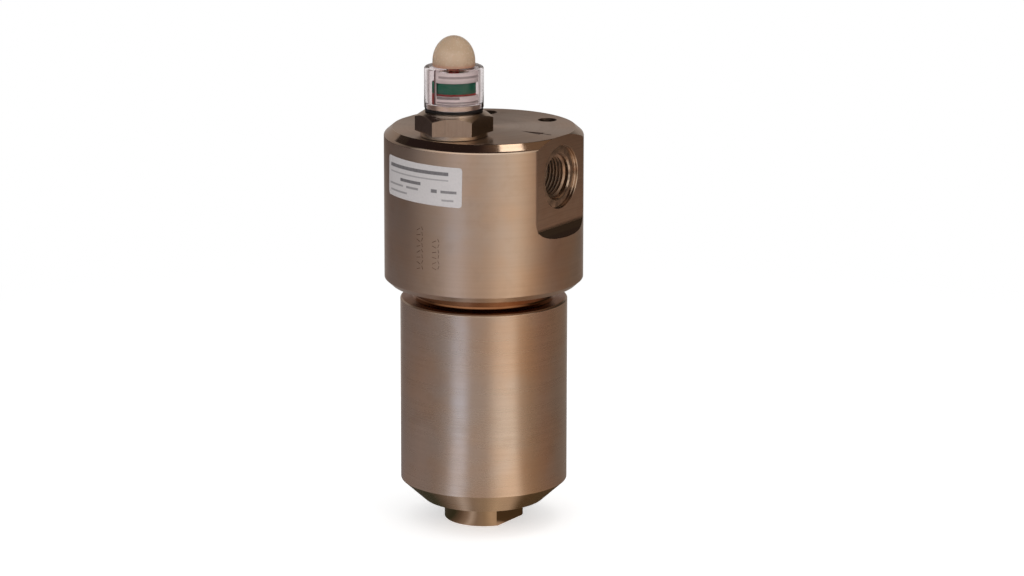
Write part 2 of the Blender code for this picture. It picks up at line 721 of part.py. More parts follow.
def filter_element(steel, pleat_cloth, rubber):
    """End caps, core and pleated pack on the head's spigot."""
    groove_foot = ELEMENT_TOP - TOP_CAP_HEIGHT / 2 - ELEMENT_RING_SECTION / 2 - SEAT_GAP
    groove_top = groove_foot + ELEMENT_RING_SECTION + 2 * SEAT_GAP
    turned(
        "element_top_cap",
        [
            (CAP_BORE, ELEMENT_TOP),
            (ELEMENT_RADIUS, ELEMENT_TOP),
            (ELEMENT_RADIUS, TOP_CAP_FOOT - CAP_SKIRT),
            (SKIRT_INNER, TOP_CAP_FOOT - CAP_SKIRT),
            (SKIRT_INNER, TOP_CAP_FOOT),
            (CAP_BORE, TOP_CAP_FOOT),
            (CAP_BORE, groove_foot),
            (ELEMENT_GROOVE, groove_foot),
            (ELEMENT_GROOVE, groove_top),
            (CAP_BORE, groove_top),
        ],
        SMALL_STEPS,
        closed=True,
        material=steel,
    )
    seal_ring("element_seal", CAP_BORE + SEAT_GAP / 2, ELEMENT_RING_SECTION,
              (groove_foot + groove_top) / 2, SMALL_STEPS, material=rubber)
    pack_foot = BOTTOM_CAP_FACE + SEAT_GAP
    pack_top = TOP_CAP_FOOT - SEAT_GAP
    perforated_core(steel, pack_foot, pack_top)
    pleated_pack(pleat_cloth, pack_foot, pack_top)
    turned(
        "element_bottom_cap",
        [
            (0, BOTTOM_CAP_FACE),
            (SKIRT_INNER, BOTTOM_CAP_FACE),
            (SKIRT_INNER, BOTTOM_CAP_FACE + CAP_SKIRT),
            (ELEMENT_RADIUS, BOTTOM_CAP_FACE + CAP_SKIRT),
            (ELEMENT_RADIUS, ELEMENT_FOOT),
            (0, ELEMENT_FOOT),
        ],
        SMALL_STEPS,
        material=steel,
    )


def hexagon_envelope(axis):
    """Everything outside the hexagon's six flats, as six cutters that clear the collar."""
    reach = HEX_ACROSS_FLATS
    made = []
    for side in range(6):
        made.append(
            block(
                f"hexagon_flat_cutter_{side}",
                (HEX_ACROSS_FLATS / 2, -reach, COLLAR_FOOT - OVERCUT),
                (reach, reach, HEX_TOP + OVERCUT),
                parent=axis,
                turn=(0, 0, math.pi / 3 * side),
            )
        )
    return made


def indicator_body(steel, axis):
    """Collar, hexagon and barrel spigot above the head; threaded shank and pilot inside it."""
    blank = HEX_ACROSS_FLATS / math.sqrt(3) + OVERCUT
    land = HEX_TOP_LAND_DIAMETER / 2
    shank = SHANK_DIAMETER / 2
    pilot = PILOT_DIAMETER / 2
    ring_inner = (FLANGE_RING_DIAMETER - FLANGE_RING_SECTION) / 2 - SEAT_GAP
    ring_outer = (FLANGE_RING_DIAMETER + FLANGE_RING_SECTION) / 2 + SEAT_GAP
    ring_roof = COLLAR_FOOT + FLANGE_RING_SECTION + SEAT_GAP
    shank_groove = pilot - SHANK_RING_SECTION - SEAT_GAP
    half_groove = SHANK_RING_SECTION / 2 + SEAT_GAP
    profile = [
        (0, BODY_TOP),
        (BARREL_SPIGOT, BODY_TOP),
        (BARREL_SPIGOT, HEX_TOP),
        (land, HEX_TOP),
        (blank, HEX_TOP - (blank - land) * HEX_TOP_SLOPE),
        (blank, HEX_FOOT),
        (COLLAR_RADIUS, HEX_FOOT),
        (COLLAR_RADIUS, COLLAR_FOOT),
        (ring_outer, COLLAR_FOOT),
        (ring_outer, ring_roof),
        (ring_inner, ring_roof),
        (ring_inner, COLLAR_FOOT),
        (shank, COLLAR_FOOT),
        (shank, SHANK_FOOT),
        (pilot, SHANK_FOOT),
        (pilot, SHANK_RING_HEIGHT + half_groove),
        (shank_groove, SHANK_RING_HEIGHT + half_groove),
        (shank_groove, SHANK_RING_HEIGHT - half_groove),
        (pilot, SHANK_RING_HEIGHT - half_groove),
        (pilot, PILOT_FOOT),
        (PISTON_BORE, PILOT_FOOT),
        (PISTON_BORE, SPRING_SHOULDER),
        (MAGNET_BORE_DIAMETER / 2, SPRING_SHOULDER),
        (MAGNET_BORE_DIAMETER / 2, MAGNET_BORE_TOP),
        (0, MAGNET_BORE_TOP),
    ]
    body = turned("indicator_body", profile, RING_STEPS, material=steel, parent=axis)
    cross = drilling(
        "cross_drilling_cutter",
        (0, -shank - OVERCUT, CROSS_DRILLING_HEIGHT),
        (0, shank + OVERCUT, CROSS_DRILLING_HEIGHT),
        CROSS_DRILLING_DIAMETER,
        parent=axis,
    )
    return cut(body, *hexagon_envelope(axis), cross)


def indicator_seals(rubber, axis):
    place = {"material": rubber, "parent": axis}
    seal_ring("indicator_flange_seal", (FLANGE_RING_DIAMETER - FLANGE_RING_SECTION) / 2,
              FLANGE_RING_SECTION, COLLAR_FOOT + FLANGE_RING_SECTION / 2, SMALL_STEPS, **place)
    seal_ring("indicator_shank_seal", PILOT_DIAMETER / 2 - SHANK_RING_SECTION - SEAT_GAP / 2,
              SHANK_RING_SECTION, SHANK_RING_HEIGHT, SMALL_STEPS, **place)
    tube("barrel_seal", BARREL_SPIGOT + SEAT_GAP, BARREL_RADIUS - SEAT_GAP,
         BARREL_RING_FOOT, BARREL_RING_FOOT + BARREL_RING_HEIGHT, RING_STEPS, **place)


def piston_drive(steel, magnet, axis):
    """Retainer, piston with its magnet, and the spring that sets the tripping pressure."""
    tube("piston_retainer", DIRTY_DRILLING_DIAMETER / 2, PISTON_BORE - SEAT_GAP,
         RETAINER_TOP - RETAINER_HEIGHT, RETAINER_TOP, SMALL_STEPS, material=steel, parent=axis)
    land = PISTON_BORE - SEAT_GAP
    rod = PISTON_ROD_DIAMETER / 2
    rod_top = MAGNET_FOOT - SEAT_GAP
    turned(
        "dp_piston",
        [(0, rod_top), (rod, rod_top), (rod, LAND_TOP), (land, LAND_TOP),
         (land, LAND_FOOT), (0, LAND_FOOT)],
        SMALL_STEPS,
        material=steel,
        parent=axis,
    )
    disc("piston_magnet", MAGNET_RADIUS, MAGNET_FOOT, MAGNET_TOP, SMALL_STEPS,
         material=magnet, parent=axis)
    spring_radius = PISTON_BORE - SEAT_GAP - RANGE_SPRING_WIRE / 2 - SEAT_GAP / 2
    coil("range_spring", spring_radius, RANGE_SPRING_WIRE, LAND_TOP + SEAT_GAP,
         SPRING_SHOULDER - SEAT_GAP, RANGE_SPRING_TURNS, steel, axis)


def indicator_barrel(clear, axis):
    """Clear barrel with a counterbore for its spigot and a nipple for the cap."""
    nipple = CAP_INNER - SEAT_GAP
    counterbore = BARREL_SPIGOT + SEAT_GAP
    stem_hole = BUTTON_STEM_DIAMETER / 2 + SEAT_GAP
    edge_centre = (BARREL_RADIUS - BARREL_EDGE, BARREL_TOP - BARREL_EDGE)
    profile = [
        (stem_hole, NIPPLE_TOP),
        (nipple, NIPPLE_TOP),
        (nipple, BARREL_TOP),
        *fillet(edge_centre, BARREL_EDGE, 90, 0),
        (BARREL_RADIUS, BARREL_FOOT),
        (counterbore, BARREL_FOOT),
        (counterbore, BARREL_STEP),
        (BARREL_BORE, BARREL_STEP),
        (BARREL_BORE, BARREL_CEILING),
        (stem_hole, BARREL_CEILING),
    ]
    return turned("indicator_barrel", profile, RING_STEPS, closed=True, material=clear, parent=axis)


def scale_foil(white, axis):
    """Printed foil inside the barrel: part of a tube with one long window."""
    foot = BARREL_STEP + SEAT_GAP
    top = BARREL_CEILING - SEAT_GAP
    window_foot = foot + WINDOW_ABOVE_FOIL_FOOT
    window_top = window_foot + WINDOW_HEIGHT
    shape = bmesh.new()
    heights = (foot, window_foot, window_top, top)
    edge = [shape.verts.new((FOIL_OUTER, 0, height)) for height in heights]
    for vert, after in zip(edge, edge[1:]):
        shape.edges.new((vert, after))
    steps = int(FOIL_ARC / WINDOW_POST_ARC)
    bmesh.ops.spin(
        shape,
        geom=shape.verts[:] + shape.edges[:],
        cent=(0, 0, 0),
        axis=(0, 0, 1),
        angle=math.radians(FOIL_ARC),
        steps=steps,
    )
    post = math.radians(WINDOW_POST_ARC)
    opening = []
    for face in shape.faces:
        middle = face.calc_center_median()
        angle = math.atan2(middle.y, middle.x) % (2 * math.pi)
        if window_foot < middle.z < window_top and post < angle < math.radians(FOIL_ARC) - post:
            opening.append(face)
    bmesh.ops.delete(shape, geom=opening, context="FACES")
    bmesh.ops.recalc_face_normals(shape, faces=shape.faces)
    mesh = bpy.data.meshes.new("scale_foil")
    shape.to_mesh(mesh)
    shape.free()
    crisp(mesh)
    foil = bpy.data.objects.new("scale_foil", mesh)
    wall = foil.modifiers.new("Thickness", "SOLIDIFY")
    wall.thickness = FOIL_THICKNESS
    wall.offset = 0
    return placed(foil, material=white, parent=axis, turn=(0, 0, math.radians(FOIL_START)))


def colour_drum(red, green, magnet, axis):
    """Drum that carries the green band over a red one, with its magnet below a web."""
    inner = DRUM_RADIUS - DRUM_WALL
    seat = DRUM_RADIUS - GREEN_BAND_WALL - SEAT_GAP
    profile = [
        (0, WEB_TOP),
        (inner, WEB_TOP),
        (inner, DRUM_TOP),
        (seat, DRUM_TOP),
        (seat, DRUM_SPLIT),
        (DRUM_RADIUS, DRUM_SPLIT),
        (DRUM_RADIUS, DRUM_FOOT),
        (inner, DRUM_FOOT),
        (inner, WEB_FOOT),
        (0, WEB_FOOT),
    ]
    place = {"steps": SMALL_STEPS, "parent": axis}
    turned("colour_drum", profile, material=red, **place)
    tube("green_band", seat + SEAT_GAP, DRUM_RADIUS, DRUM_SPLIT + SEAT_GAP, DRUM_TOP,
         material=green, **place)
    disc("drum_magnet", MAGNET_RADIUS, DRUM_FOOT, DRUM_FOOT + DRUM_MAGNET_HEIGHT,
         material=magnet, **place)


def reset_button(red, steel, axis):
    stem = BUTTON_STEM_DIAMETER / 2
    head = BUTTON_HEAD_DIAMETER / 2
    head_top = BUTTON_HEAD_FOOT + BUTTON_HEAD_HEIGHT
    turned(
        "reset_button",
        [(0, head_top), (head, head_top), (head, BUTTON_HEAD_FOOT), (stem, BUTTON_HEAD_FOOT),
         (stem, STEM_FOOT), (0, STEM_FOOT)],
        SMALL_STEPS,
        material=red,
        parent=axis,
    )
    spring_radius = (stem + head) / 2
    coil("button_spring", spring_radius, BUTTON_SPRING_WIRE, NIPPLE_TOP + SEAT_GAP,
         BUTTON_HEAD_FOOT - SEAT_GAP, BUTTON_SPRING_TURNS, steel, axis)


def protective_cap(milky, axis):
    """Thin dome that plugs over the barrel's nipple."""
    outer = CAP_DIAMETER / 2
    foot = BARREL_TOP + SEAT_GAP

    def dome(radius, height, angles):
        return [
            (radius * math.cos(angle), NIPPLE_TOP + height * math.sin(angle))
            for angle in angles
        ]

    steps = 3 * FILLET_STEPS
    falling = [math.pi / 2 * (1 - step / steps) for step in range(steps + 1)]
    rising = falling[::-1]
    inside = dome(CAP_INNER, CAP_DOME_HEIGHT - CAP_WALL, rising)
    outside = dome(outer, CAP_DOME_HEIGHT, falling)
    profile = [(0, outside[0][1]), *outside[1:], (outer, foot), (CAP_INNER, foot),
               *inside[:-1], (0, inside[-1][1])]
    return turned("protective_cap", profile, SMALL_STEPS, material=milky, parent=axis)


def build():
    steel = finish("bronze_tinted_stainless", (0.42, 0.33, 0.27), 0.32, metallic=1.0)
    plain_steel = finish("plain_stainless", (0.55, 0.54, 0.52), 0.35, metallic=1.0)
    rubber = finish("black_rubber", (0.02, 0.02, 0.02), 0.6)
    backup = finish("white_backup_plastic", (0.80, 0.79, 0.74), 0.5)
    pleat_cloth = finish("pleated_filter_cloth", (0.72, 0.70, 0.62), 0.8)
    magnet = finish("magnet", (0.12, 0.12, 0.13), 0.4, metallic=0.8)
    clear = finish("clear_plastic", (0.90, 0.92, 0.92), 0.05, alpha=0.3)
    white = finish("white_foil", (0.75, 0.70, 0.70), 0.5)
    red = finish("red_plastic", (0.45, 0.03, 0.02), 0.4)
    green = finish("green_plastic", (0.01, 0.16, 0.10), 0.4)
    milky = finish("milky_plastic", (0.62, 0.47, 0.36), 0.4)

    bowl_axis = axis_empty("bowl_axis", (0, 0, 0))
    indicator_axis = axis_empty("indicator_axis", (0, -INDICATOR_OFFSET, HEAD_TOP))

    filter_head(steel, indicator_axis)
    bowl(steel, bowl_axis)
    bowl_seals(rubber, backup, bowl_axis)
    filter_element(plain_steel, pleat_cloth, rubber)
    indicator_body(steel, indicator_axis)
    indicator_seals(rubber, indicator_axis)
    piston_drive(plain_steel, magnet, indicator_axis)
    indicator_barrel(clear, indicator_axis)
    scale_foil(white, indicator_axis)
    colour_drum(red, green, magnet, indicator_axis)
    reset_button(red, plain_steel, indicator_axis)
    protective_cap(milky, indicator_axis)


build()
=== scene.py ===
"""Looks of a stainless high-pressure hydraulic filter with a clogging indicator.

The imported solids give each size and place. Lengths are in metres, and Z runs up the bowl's axis.
"""

import math

import bmesh
import bpy
from mathutils import Matrix, Vector


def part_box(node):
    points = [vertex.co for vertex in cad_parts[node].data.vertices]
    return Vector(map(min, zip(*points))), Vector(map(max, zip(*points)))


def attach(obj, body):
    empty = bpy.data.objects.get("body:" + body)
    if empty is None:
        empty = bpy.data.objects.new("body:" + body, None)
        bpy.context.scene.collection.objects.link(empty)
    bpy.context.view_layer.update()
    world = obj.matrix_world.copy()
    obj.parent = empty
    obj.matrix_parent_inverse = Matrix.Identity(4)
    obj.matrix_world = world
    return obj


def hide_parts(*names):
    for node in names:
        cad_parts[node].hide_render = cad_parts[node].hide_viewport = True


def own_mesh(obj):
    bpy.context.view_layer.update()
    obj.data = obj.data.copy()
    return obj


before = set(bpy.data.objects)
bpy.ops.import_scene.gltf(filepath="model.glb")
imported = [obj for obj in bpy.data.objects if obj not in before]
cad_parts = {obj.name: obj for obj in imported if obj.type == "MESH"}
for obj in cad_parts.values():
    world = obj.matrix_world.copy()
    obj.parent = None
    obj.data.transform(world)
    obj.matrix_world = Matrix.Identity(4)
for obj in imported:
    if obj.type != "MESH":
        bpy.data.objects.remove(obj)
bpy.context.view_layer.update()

# Head
HEAD_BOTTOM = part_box("filter_head")[0].z
HEAD_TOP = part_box("filter_head")[1].z
HEAD_RADIUS = 0.0475
TOP_EDGE_RADIUS = 0.0436
TOP_EDGE_DROP = 0.0033
LOWER_EDGE_RADIUS = 0.0443
LOWER_EDGE_RISE = 0.0029
SEAL_BORE = 0.0320
SPIGOT_RADIUS = 0.0110
CHAMBER_TOP = 0.152
SPIGOT_END = 0.134
PORT_HEIGHT = 0.173
PORT_FLAT_X = 0.0432
PORT_THREAD_PITCH = 0.001814
PORT_CREST = 0.0093
PORT_ROOT = 0.0104
PORT_THREAD_END = 0.0165
SPOT_FACE_RADIUS = 0.0150
SPOT_FACE = 0.0015
FLAT_FOOT = 0.151
RUNOUT_RADIUS = 0.0065
DIRTY_PASSAGE = 0.006
PASSAGE_X = 0.018
CLEAN_BORE = 0.007
NECK_CREST = 0.0340
NECK_ROOT = 0.0349
THREAD_TOP = 0.137
HOLE_PLACES = ((0.017, 0.02944), (-0.017, 0.02944))
HOLE_CREST = 0.0034
HOLE_ROOT = 0.0040
HOLE_DEPTH = 0.016
HOLE_PITCH = 0.00125
ENGRAVING = 0.0003

# Bowl
BOWL_RADIUS = 0.040
BOWL_BORE = 0.025
BOWL_FLOOR = 0.020
FLOOR_FILLET = 0.008
BOSS_RADIUS = 0.019
BOSS_HEIGHT = 0.0105
BOSS_HALF_FLATS = 0.015
TAPER_FOOT_RADIUS = 0.029
TAPER_TOP = 0.0205
SHOULDER = 0.110
NECK_TOP = 0.150
LAND_RADIUS = 0.0317
RING_GROOVE_RADIUS = 0.0292
RING_GROOVE = (0.1425, 0.147)
NECK_PITCH = 0.002
BOWL_CREST = 0.0337
BOWL_ROOT = 0.0325

# Rating label
LABEL_WIDTH = 0.0472
LABEL_HEIGHT = 0.0190
LABEL_AZIMUTH = -97.5
LABEL_LEVEL = 0.1728

# Indicator, heights from the head's top face
CAP_LOW, CAP_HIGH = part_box("protective_cap")
INDICATOR = Vector(((CAP_LOW.x + CAP_HIGH.x) / 2, (CAP_LOW.y + CAP_HIGH.y) / 2, HEAD_TOP))
SEAT_GAP = 0.0003
COLLAR_RADIUS = 0.0159
SHANK_RADIUS = 0.0097
SHANK_END = -0.016
PILOT_RADIUS = 0.0087
PILOT_END = -0.024
PISTON_BORE = 0.0055
MAGNET_BORE = 0.0041
HEX_ACROSS_FLATS = 0.032
HEX_FOOT = 0.0022
HEX_TOP = 0.0117
HEX_LAND = 0.0142
HEX_TOP_ANGLE = 33
BARREL_RADIUS = 0.0140
BARREL_FOOT = 0.0137
BARREL_TOP = 0.0330
BARREL_STEP = 0.0162
BARREL_SPIGOT = 0.0124
BARREL_SKIRT = 0.0127
BODY_TOP = 0.0159
NIPPLE_TOP = 0.0355
BARREL_BORE = 0.01155
BARREL_CEILING = 0.0318
FOIL_FOOT = 0.0165
FOIL_RADIUS = 0.01125
FOIL_FRONT = -57
FOIL_START = -107
FOIL_ARC = 250
FOIL_POST = 5
WINDOW = (0.0206, 0.02665)
DRUM_RADIUS = 0.01015
DRUM_SPLIT = 0.0214
DRUM_TOP = 0.0267

# Camera
VIEW_AZIMUTH = math.radians(33.3)
VIEW_ELEVATION = math.radians(13.57)
VIEW_DISTANCE = 2.037
AIM = Vector((0, 0, 0.115))

# Steps round a turned shape
FINE = 192
MEDIUM = 96


class Wire:
    """One output socket, with the sums that the finishes write."""

    def __init__(self, finish, socket):
        self.finish = finish
        self.socket = socket

    def sum(self, operation, *values):
        return self.finish.node("ShaderNodeMath", {"operation": operation}, dict(enumerate(values)))

    def __add__(self, other):
        return self.sum("ADD", self, other)

    def __sub__(self, other):
        return self.sum("SUBTRACT", self, other)

    def __rsub__(self, other):
        return self.sum("SUBTRACT", other, self)

    def __mul__(self, other):
        return self.sum("MULTIPLY", self, other)

    def __truediv__(self, other):
        return self.sum("DIVIDE", self, other)

    def __abs__(self):
        return self.sum("ABSOLUTE", self)

    __radd__ = __add__
    __rmul__ = __mul__

    def root(self):
        return self.sum("SQRT", self)

    def angle_from(self, other):
        return self.sum("ARCTAN2", self, other)

    def eased(self, low, high):
        """0 below low and 1 above high, with a smooth step between them."""
        settings = {"interpolation_type": "SMOOTHSTEP"}
        return self.finish.node("ShaderNodeMapRange", settings, {0: self, 1: low, 2: high})

    def within(self, middle, half, soft):
        """1 within half of a middle value, fading out over soft."""
        return 1 - abs(self - middle).eased(half - soft, half + soft)


class Finish:
    """A material, or the world, whose nodes are added one by one."""

    def __init__(self, name, library=bpy.data.materials):
        self.owner = library.new(name)
        self.owner.use_nodes = True
        self.tree = self.owner.node_tree

    def node(self, kind, settings=None, sockets=None, output=0):
        made = self.tree.nodes.new(kind)
        for key, value in (settings or {}).items():
            if key == "stops":
                ramp = made.color_ramp.elements
                while len(ramp) < len(value):
                    ramp.new(1)
                for stop, (position, colour) in zip(ramp, value):
                    stop.position = position
                    stop.color = (*colour, 1)
            else:
                setattr(made, key, value)
        for key, value in (sockets or {}).items():
            self.plug(made.inputs[key], value)
        return Wire(self, made.outputs[output])

    def plug(self, socket, value):
        if isinstance(value, Wire):
            self.tree.links.new(value.socket, socket)
        elif isinstance(value, tuple) and socket.type == "RGBA":
            socket.default_value = (*value, 1)
        else:
            socket.default_value = value

    def place(self):
        """The point's X, Y and Z in the object's frame."""
        point = self.node("ShaderNodeTexCoord", output="Object")
        return [self.node("ShaderNodeSeparateXYZ", None, {0: point}, axis) for axis in range(3)]

    def vector(self, x, y, z):
        return self.node("ShaderNodeCombineXYZ", None, {0: x, 1: y, 2: z})

    def noise(self, vector, scale=1.0, detail=2.0, roughness=0.5):
        sockets = {"Vector": vector, "Scale": scale, "Detail": detail, "Roughness": roughness}
        return self.node("ShaderNodeTexNoise", None, sockets)

    def cloud(self, scale, detail=2.0, roughness=0.5):
        """Noise that is the same size in all directions."""
        point = self.node("ShaderNodeTexCoord", output="Object")
        return self.noise(point, scale, detail, roughness)

    def mix(self, factor, first, second):
        sockets = {0: factor, 6: first, 7: second}
        return self.node("ShaderNodeMix", {"data_type": "RGBA"}, sockets, 2)

    def ramp(self, value, *stops):
        return self.node("ShaderNodeValToRGB", {"stops": stops}, {0: value})

    def bump(self, height, distance, strength=1.0):
        sockets = {"Height": height, "Distance": distance, "Strength": strength}
        return self.node("ShaderNodeBump", None, sockets)

    def looked_at(self):
        """1 for rays of the camera, of mirrors and through clear parts, and 0 for all others."""
        rays = self.node("ShaderNodeLightPath").socket.node.outputs
        camera, mirror, clear = (
            Wire(self, rays[f"Is {kind} Ray"]) for kind in ("Camera", "Glossy", "Transmission")
        )
        return camera.sum("MAXIMUM", camera.sum("MAXIMUM", camera, mirror), clear)

    def give(self, **sockets):
        """Sets the shader's own sockets, whose names are written with underscores."""
        shader = self.tree.nodes["Principled BSDF"]
        for key, value in sockets.items():
            self.plug(shader.inputs[key.replace("_", " ")], value)
        return self.owner

    def surface(self, shader):
        """Puts another shader in place of the usual one."""
        self.plug(self.tree.nodes["Material Output"].inputs[0], shader)
        return self.owner


def shaded(colour, share):
    """The colour made darker or lighter by a factor."""
    return tuple(part * share for part in colour)


def turned_steel(name, cool, warm, roughness, anisotropy, centre=(0, 0)):
    """Stainless with lathe lines that run round an upright axis."""
    finish = Finish(name)
    x, y, z = finish.place()
    x = x - centre[0]
    y = y - centre[1]
    radius = (x * x + y * y).root()
    # The shifts keep the walls off whole numbers, at which the noise is always the same.
    fine = finish.vector(radius * 800 + 0.41, x * 3 + 0.63, z * 800 + y * 2)
    broad = finish.vector(radius * 420 + 0.37, y * 6 + 0.58, z * 420 + x * 4)
    lines = finish.noise(fine, 1.0, 1.0, 0.6)
    bands = finish.noise(broad, 1.0, 2.0)
    stain = finish.cloud(26, 3.0, 0.55)
    blotch = finish.cloud(70, 4.0, 0.6)
    tone = finish.mix(stain.eased(0.38, 0.64), cool, warm)
    tone = finish.mix(blotch.eased(0.50, 0.72) * 0.35, tone, shaded(warm, 0.80))
    tone = finish.mix(lines.eased(0.35, 0.70) * 0.07, tone, shaded(warm, 0.5))
    tone = finish.mix(bands.eased(0.45, 0.75) * 0.06, tone, shaded(cool, 1.2))
    rough = roughness + (lines - 0.5) * 0.10 + (blotch - 0.5) * 0.08
    return finish.give(
        Base_Color=tone,
        Metallic=1.0,
        Roughness=rough,
        Anisotropic=anisotropy,
        Anisotropic_Rotation=0.25,
        Normal=finish.bump(bands, 0.00002, 0.04),
    )


def milled_steel(name, cool, warm, roughness, run="y"):
    """Stainless with straight cutter lines along one axis."""
    finish = Finish(name)
    x, y, z = finish.place()
    if run == "z":
        along = finish.vector(x * 1500, y * 1500, z * 30)
    else:
        along = finish.vector(z * 2200, x * 60, y * 30)
    lines = finish.noise(along, 1.0, 3.0, 0.6)
    stain = finish.cloud(60, 3.0, 0.6)
    tone = finish.mix(stain.eased(0.35, 0.68), cool, warm)
    tone = finish.mix(lines.eased(0.40, 0.75) * 0.30, tone, shaded(warm, 0.5))
    return finish.give(
        Base_Color=tone,
        Metallic=1.0,
        Roughness=roughness + (lines - 0.5) * 0.14,
        Normal=finish.bump(lines, 0.00002, 0.35),
    )


def cut_metal(name, colour, roughness):
    """Bare metal in holes, grooves and threads, darker where oil has dried."""
    finish = Finish(name)
    grime = finish.cloud(240, 3.0, 0.6)
    tone = finish.mix(grime.eased(0.35, 0.75), colour, shaded(colour, 0.45))
    return finish.give(
        Base_Color=tone,
        Metallic=1.0,
        Roughness=roughness + (grime - 0.5) * 0.2,
        Normal=finish.bump(grime, 0.00003, 0.4),
    )


def rubber(name, colour, shine=0.5):
    """Matt rubber with a little dust."""
    finish = Finish(name)
    grain = finish.cloud(1800, 2.0)
    dust = finish.cloud(150, 3.0, 0.6)
    tone = finish.mix(dust.eased(0.45, 0.8) * 0.5, colour, tuple(share + 0.03 for share in colour))
    return finish.give(
        Base_Color=tone,
        Roughness=0.52 + (grain - 0.5) * 0.2,
        Specular_IOR_Level=shine,
        Normal=finish.bump(grain, 0.00003, 0.5),
    )


def moulded(name, colour, shade, roughness=0.35, shine=0.5):
    """Moulded plastic with a faint grain and uneven colour."""
    finish = Finish(name)
    grain = finish.cloud(1200, 2.0)
    flow = finish.cloud(110, 2.0)
    return finish.give(
        Base_Color=finish.mix(flow.eased(0.35, 0.7), colour, shade),
        Roughness=roughness + (grain - 0.5) * 0.12,
        Specular_IOR_Level=shine,
        Normal=finish.bump(grain, 0.00002, 0.3),
    )


def clear_plastic():
    """Clear barrel with rubbed marks and a trace of haze."""
    finish = Finish("clear_barrel_plastic")
    x, y, z = finish.place()
    rubbed = finish.noise(finish.vector(x * 90, y * 90, z * 1300), 1.0, 3.0, 0.6)
    haze = finish.cloud(160, 3.0)
    return finish.give(
        Base_Color=finish.mix(haze.eased(0.35, 0.75), (0.83, 0.77, 0.77), (0.77, 0.70, 0.70)),
        Roughness=0.03 + rubbed.eased(0.55, 0.85) * 0.10,
        IOR=1.34,
        Transmission_Weight=1.0,
        Normal=finish.bump(rubbed, 0.00001, 0.25),
    )


def milky_plastic():
    """Soft milky cap, with painted shade towards its foot and a painted pink band at the foot for
    the red pin seen through it.
    """
    finish = Finish("milky_cap_plastic")
    z = finish.place()[2]
    seat = HEAD_TOP + BARREL_TOP
    low = 1 - z.eased(seat, seat + 0.009)
    foot = 1 - z.eased(seat + 0.0004, seat + 0.0024)
    flow = finish.cloud(140, 3.0, 0.6)
    tone = finish.mix(flow.eased(0.3, 0.7) * 0.25, (0.53, 0.375, 0.255), (0.46, 0.32, 0.21))
    # Painted shade: darker towards the foot.
    tone = finish.mix(low * 0.40, tone, (0.40, 0.26, 0.175))
    # Painted light: a pink band at the foot for the red pin seen through the cap.
    tone = finish.mix(foot * 0.5, tone, (0.46, 0.15, 0.09))
    grain = finish.cloud(900, 2.0)
    return finish.give(
        Base_Color=tone,
        Roughness=0.27 + (grain - 0.5) * 0.04,
        Subsurface_Weight=0.25,
        Subsurface_Radius=(0.004, 0.0026, 0.0018),
        Subsurface_Scale=1.0,
        Coat_Weight=0.35,
        Normal=finish.bump(grain, 0.00002, 0.02),
    )


def printed(name, paper, ink, rows, wall):
    """Paper or foil on a round wall, with plain grey bars in place of its print.

    A row is (along, up, half length, half height, depth).
    A wall is (centre, azimuth of its middle, radius, level).
    """
    finish = Finish(name)
    centre, azimuth, radius, level = wall
    back = -math.radians(azimuth)
    x, y, z = finish.place()
    x = x - centre[0]
    y = y - centre[1]
    turned_x = x * math.cos(back) - y * math.sin(back)
    turned_y = x * math.sin(back) + y * math.cos(back)
    along = turned_y.angle_from(turned_x) * radius
    up = z - level
    mask = None
    for middle, height, half_length, half_height, depth in rows:
        bar = along.within(middle, half_length, 0.00012)
        bar = bar * up.within(height, half_height, 0.00010) * depth
        mask = bar if mask is None else mask + bar
    grain = finish.cloud(900, 3.0, 0.6)
    tone = finish.mix(grain.eased(0.35, 0.75) * 0.5, paper, shaded(paper, 0.88))
    tone = finish.mix(mask * (0.85 + grain * 0.3), tone, ink)
    return finish, tone, grain, along


def rating_label_paper():
    """Silvery label paper with plain bars where the real one carries its data."""
    rows = (
        (-0.0020, 0.0058, 0.0190, 0.00085, 0.85),
        (-0.0020, 0.0027, 0.0190, 0.00035, 0.45),
        (-0.0050, -0.0002, 0.0070, 0.00075, 0.85),
        (-0.0160, -0.0031, 0.0060, 0.00045, 0.55),
        (-0.0035, -0.0031, 0.0040, 0.00055, 0.60),
        (0.0095, -0.0028, 0.0016, 0.00085, 0.80),
        (0.0170, -0.0028, 0.0040, 0.00065, 0.75),
        (-0.0140, -0.0062, 0.0070, 0.00045, 0.55),
        (0.0165, -0.0068, 0.0030, 0.00045, 0.50),
    )
    wall = ((0, 0), LABEL_AZIMUTH, HEAD_RADIUS, LABEL_LEVEL)
    paper, ink = (0.60, 0.565, 0.56), (0.09, 0.085, 0.09)
    finish, tone, grain, _ = printed("rating_label_paper", paper, ink, rows, wall)
    return finish.give(
        Base_Color=tone,
        Metallic=0.15,
        Roughness=0.42 + (grain - 0.5) * 0.12,
        Coat_Weight=0.2,
        Normal=finish.bump(grain, 0.00003, 0.25),
    )


def foil_print():
    """White foil with bars above and below the window and a painted shadow along its left edge."""
    rows = (
        (0.0040, 0.0129, 0.0112, 0.00055, 0.60),
        (-0.0027, 0.0033, 0.0054, 0.00065, 0.70),
        (0.0040, 0.0012, 0.0120, 0.00035, 0.60),
    )
    wall = (INDICATOR.xy, FOIL_FRONT, FOIL_RADIUS, HEAD_TOP + FOIL_FOOT)
    paper, ink = (0.96, 0.89, 0.88), (0.08, 0.05, 0.05)
    finish, tone, grain, along = printed("printed_foil", paper, ink, rows, wall)
    edge = math.radians(FOIL_START - FOIL_FRONT) * FOIL_RADIUS
    # Painted shadow: a dark band along the foil's left edge.
    painted_edge_shadow = along.within(edge, 0.0010, 0.0002)
    tone = finish.mix(painted_edge_shadow * 0.9, tone, (0.10, 0.02, 0.02))
    return finish.give(
        Base_Color=tone,
        Roughness=0.45 + (grain - 0.5) * 0.1,
        Normal=finish.bump(grain, 0.00002, 0.2),
    )


